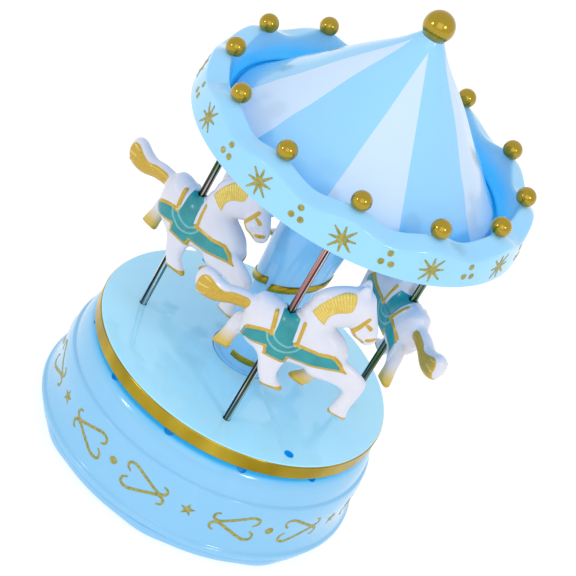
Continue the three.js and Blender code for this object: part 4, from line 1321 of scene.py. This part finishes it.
def zero_surface(field, low, step):
    """Points and quads of the surface where a field on a grid is 0: it is negative inside."""
    cells = tuple(size - 1 for size in field.shape)
    total = np.zeros((*cells, 3))
    hits = np.zeros(cells)
    corners = list(itertools.product((0, 1), repeat=3))

    def corner(offset):
        return field[tuple(slice(o, o + size) for o, size in zip(offset, cells))]

    for a, b in itertools.combinations(corners, 2):
        if sum(abs(p - q) for p, q in zip(a, b)) != 1:
            continue
        start, end = corner(a), corner(b)
        crosses = (start < 0) != (end < 0)
        share = np.where(crosses, start / np.where(crosses, start - end, 1), 0)
        for axis in range(3):
            total[..., axis] += np.where(crosses, a[axis] + share * (b[axis] - a[axis]), 0)
        hits += crosses
    used = hits > 0
    number = np.full(cells, -1)
    number[used] = np.arange(used.sum())
    places = np.argwhere(used) + total[used] / hits[used][:, None]
    points = places * step + np.array(low)
    quads = []
    for axis in range(3):
        u, v = (axis + 1) % 3, (axis + 2) % 3
        near, far = [slice(1, -1)] * 3, [slice(1, -1)] * 3
        near[axis] = slice(0, -1)
        far[axis] = slice(1, None)
        start, end = field[tuple(near)] < 0, field[tuple(far)] < 0
        spots = np.argwhere(start != end)
        leaving = start[start != end]
        spots[:, [u, v]] += 1
        around = []
        for back_u, back_v in ((1, 1), (0, 1), (0, 0), (1, 0)):
            cell = spots.copy()
            cell[:, u] -= back_u
            cell[:, v] -= back_v
            around.append(number[tuple(cell.T)])
        quad = np.stack(around, 1)
        quads.append(np.where(leaving[:, None], quad, quad[:, ::-1]))
    return points, np.concatenate(quads)


def strand(across, up):
    """Phase of the strands of the mane."""
    return np.arctan2(up - STRAND_AT[1], across - STRAND_AT[0]) * 125


def tail_lines(across, up):
    """1 on a few short lines that fan out at the tip of the tail."""
    fan = np.arctan2(up - TAIL_FAN_AT[1], TAIL_FAN_AT[0] - across)
    return np.clip(np.cos(fan * 20) * 8 - 7, 0, 1) * np.clip((-across - 22) / 0.8, 0, 1)


GRAIN = 0.3  # pitch of the grid that the horse is carved on


def horse_shape():
    """The horse's surface and its paint. Each part is a pillow on a side view, all blended."""
    low = (-28.5, -6.3, 13.5)
    high = (29.5, 6.3, 62.5)
    axes = [np.arange(a, b, GRAIN) for a, b in zip(low, high)]
    across, up = np.meshgrid(axes[0], axes[2], indexing="ij")
    depth = axes[1][None, :, None]

    def view(line, passes=4):
        return softened(outline_distance(line, across, up), passes)

    def pillow(distance, thick, edge, middle=0.0):
        """Half as thick as thick says at its plateau, and rounded off over edge at its rim."""
        rim = np.clip(1 + distance / edge, 0, None)[:, None, :]
        spread = np.sqrt(((depth - middle) / np.asarray(thick)) ** 2 + rim**2) - 1
        return spread * edge * 0.8

    def bulge(centre, sizes):
        reach = np.sqrt(
            ((across[:, None, :] - centre[0]) / sizes[0]) ** 2
            + ((depth - centre[1]) / sizes[1]) ** 2
            + ((up[:, None, :] - centre[2]) / sizes[2]) ** 2
        )
        return (reach - 1) * min(sizes)

    body = pillow(view(TRUNK), 4.3, 5.5)
    body = blended(body, bulge((-4.6, 0, 34), (5.6, 4.9, 7.6)), 1.6)
    body = blended(body, bulge((14.4, 0, 33), (5.4, 4.8, 6.8)), 1.6)
    thick = (3.5 - 0.035 * np.clip(up - 40, 0, 20))[:, None, :]
    body = blended(body, pillow(view(NECK), thick, 4.5), 1.8)
    muzzle = (3.1 - 0.07 * np.clip(55 - up, 0, 16))[:, None, :]
    body = blended(body, pillow(view(HEAD), muzzle, 3.2), 0.9)
    body = blended(body, bulge((18.2, 0, 46), (2.6, 3.3, 3.4)), 0.9)
    ear = view(EAR, 1)
    for side in (-1.5, 1.5):
        body = blended(body, pillow(ear, 0.85, 1.0, side), 0.5)
    body = blended(body, pillow(view(TAIL), 2.3, 2.6), 1.0)
    for line, side, thick, edge in LEGS:
        body = blended(body, pillow(view(line, 2), thick, edge, side), 0.9)

    strap = outline_distance(STRAP, across, up, 2)
    flap = outline_distance(FLAP, across, up, 3)
    mane = outline_distance(MANE, across, up, 3)
    tail_paint = outline_distance(TAIL_PAINT, across, up, 3)
    raised = ledge(strap, 0.35) + ledge(flap, 0.25)
    for rib in RIBS:
        raised += 0.4 * np.exp(-((line_distance(rib, across, up) / 0.32) ** 2))
    for line, half in GOLD_LINES[:2]:
        raised += ledge(line_distance(line, across, up) - half, 0.35)
    for line, half in GOLD_LINES[2:5]:
        raised += ledge(line_distance(line, across, up) - half, 0.2)
    raised += ledge(mane, 0.4) * (0.55 + 0.45 * np.cos(strand(across, up)))
    raised += ledge(tail_paint, 0.12) + 0.2 * ledge(tail_paint, 1) * tail_lines(across, up)
    raised += 0.3 * np.exp(-(((across - 20.2) ** 2 + (up - 46.8) ** 2) / 0.7))
    raised -= 0.35 * np.exp(-(((across - 22.5) ** 2 + (up - 44.6) ** 2) / 0.18))
    field = body - raised[:, None, :]
    hole = POLE_R + 0.16 - np.sqrt(across[:, None, :] ** 2 + depth**2)
    field = np.maximum(field, hole)
    points, quads = zero_surface(field, low, GRAIN)

    forward, side, height = points.T
    aside = np.clip(np.abs(side) * 1.3 - 0.8, -1.5, 1.5)  # paint keeps off the middle of the back
    on_strap = -outline_distance(STRAP, forward, height, 2)
    on_flap = -outline_distance(FLAP, forward, height, 3)
    in_mane = -outline_distance(MANE, forward, height, 3)
    in_tail = -outline_distance(TAIL_PAINT, forward, height, 3)
    on_strap = np.minimum(on_strap, forward + 9.2)  # the far leg stays plain
    edging = np.where(on_flap > -0.3, -1.0, 0.42 - np.abs(on_strap - 0.1))
    edging = np.minimum(edging, forward + 8.9)
    gold = [edging, np.minimum(in_mane, aside), in_tail]
    for line, half in GOLD_LINES:
        gold.append(half - line_distance(line, forward, height))
    dust = np.zeros(len(points))
    for hooves, near in ((NEAR_HOOVES, True), (FAR_HOOVES, False)):
        there = np.clip(-side if near else side, 0, 1) - 0.3
        for line, reach in hooves:
            gap = line_distance(line, forward, height)
            gold.append(np.minimum(reach - gap, there))
            if not near:
                dust = np.maximum(dust, np.clip(1.35 - gap / 5.5, 0, 1) * np.clip(there * 3, 0, 1))
    worn = np.where(in_mane > 0, np.clip(np.cos(strand(forward, height)) * 3 - 2, 0, 1), 0)
    worn = np.maximum(worn, np.where(in_tail > 0.3, tail_lines(forward, height), 0))
    # painted highlight along the crests of the ribs
    for rib in RIBS:
        worn = np.maximum(worn, np.exp(-((line_distance(rib, forward, height) / 0.22) ** 2)))
    paint = {
        "teal": np.minimum(np.maximum(on_strap, on_flap), aside + 0.6),
        "gold": np.max(gold, axis=0),
        "dust": dust,
        "worn": worn,
        "mane": np.clip(in_mane + 0.5, 0, 1),
    }
    return points, quads, paint


def horses():
    points, quads, paint = horse_shape()
    for name in HORSES:
        spot = POLE_AT[name]
        azimuth = math.degrees(math.atan2(spot.x, -spot.y)) + HORSE_TURN[name]
        turn = np.array(Matrix.Rotation(math.radians(azimuth), 3, "Z"))
        placed = points @ turn.T + np.array((spot.x, spot.y, DECK_Z))
        mesh = bpy.data.meshes.new(f"figure_{name}")
        mesh.from_pydata((placed * MM).tolist(), [], quads.tolist())
        for label, values in paint.items():
            layer = mesh.attributes.new(label, "FLOAT", "POINT")
            layer.data.foreach_set("value", values.astype(np.float32))
        mesh.shade_smooth()
        mesh.materials.append(FINISHES["horse_plastic"])
        piece = linked(f"figure_{name}", mesh)
        fitted(piece, f"horse_{name}", "horse_plastic", f"horse_{name}")


# ---- Camera, floor and light ------------------------------------------------------------------

VIEW_TILT = math.radians(31.53)
VIEW_ROLL = math.radians(30.65)
VIEW_DISTANCE = 593.4
VIEW_AIM = (0.83, -16.08)  # how far the view's centre is from the middle, across and up
LENS = 134.03


def camera():
    back = Vector((0, -math.cos(VIEW_TILT), math.sin(VIEW_TILT)))
    up = Vector((0, math.sin(VIEW_TILT), math.cos(VIEW_TILT)))
    right = Vector((1, 0, 0))
    made = bpy.data.cameras.new("camera")
    made.lens = LENS
    made.sensor_width = 36
    made.clip_start, made.clip_end = 0.05, 20
    eye = linked("camera", made)
    middle = Vector((0, 0, DECK_Z + DECK_R))
    eye.location = (middle + back * VIEW_DISTANCE + right * VIEW_AIM[0] + up * VIEW_AIM[1]) * MM
    across = right * math.cos(VIEW_ROLL) + up * math.sin(VIEW_ROLL)
    over = up * math.cos(VIEW_ROLL) - right * math.sin(VIEW_ROLL)
    eye.rotation_mode = "QUATERNION"
    eye.rotation_quaternion = Matrix((across, over, back)).transposed().to_quaternion()
    bpy.context.scene.camera = eye


def area_light(name, place, size, power):
    """A square soft light that faces the middle of the object."""
    made = bpy.data.lights.new(name, "AREA")
    made.shape = "SQUARE"
    made.size = size
    made.energy = power
    lamp = linked(name, made)
    aim = Vector((0, 0, (DECK_Z + DECK_R) * MM))
    lamp.location = aim + Vector(place)
    lamp.rotation_mode = "QUATERNION"
    lamp.rotation_quaternion = (aim - lamp.location).to_track_quat("-Z", "Y")


def studio():
    world = bpy.data.worlds.new("studio")
    world.use_nodes = True
    sky = world.node_tree.nodes["Background"]
    sky.inputs["Color"].default_value = (1, 1, 1, 1)
    sky.inputs["Strength"].default_value = 0.91
    bpy.context.scene.world = world
    area_light("left softbox", (-1.0, -0.76, 0.31), 0.15, 1.4)
    area_light("right softbox", (0.8, -0.72, 0.73), 0.15, 2.0)
    area_light("front softbox", (0.1, -1.2, 0.75), 1.0, 2.4)

    mesh = bpy.data.meshes.new("floor")
    reach = 6.0
    corners = [(-reach, -reach, 0), (reach, -reach, 0), (reach, reach, 0), (-reach, reach, 0)]
    mesh.from_pydata(corners, [], [(0, 1, 2, 3)])
    graph = Finish("pale floor")
    speck = graph.noise(40, 2)
    white = graph.mix(speck, colour(158, 158, 158), colour(162, 162, 162))
    mesh.materials.append(graph.close({
        "Base Color": white,
        "Roughness": 0.9,
        "Emission Color": (1, 1, 1, 1),
        "Emission Strength": 0.74,
    }))
    floor = linked("floor", mesh)
    view = bpy.context.scene.view_settings
    view.view_transform = "Standard"
    view.look = "None"


# ---- Assembly -------------------------------------------------------------------------------


def dress_cad_nodes():
    """The pieces of the movement keep their CAD shape and get a real finish."""
    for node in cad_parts.values():
        for place in node.material_slots:
            if place.material and place.material.name in FINISHES:
                place.material = FINISHES[place.material.name]


camera()
studio()
dress_cad_nodes()
shell = housing()
winding_foot()
turntable()
column()
column_trim()
crown = canopy()
roof()
finial()
crown_balls()
prints(shell, crown)
poles()
horses()
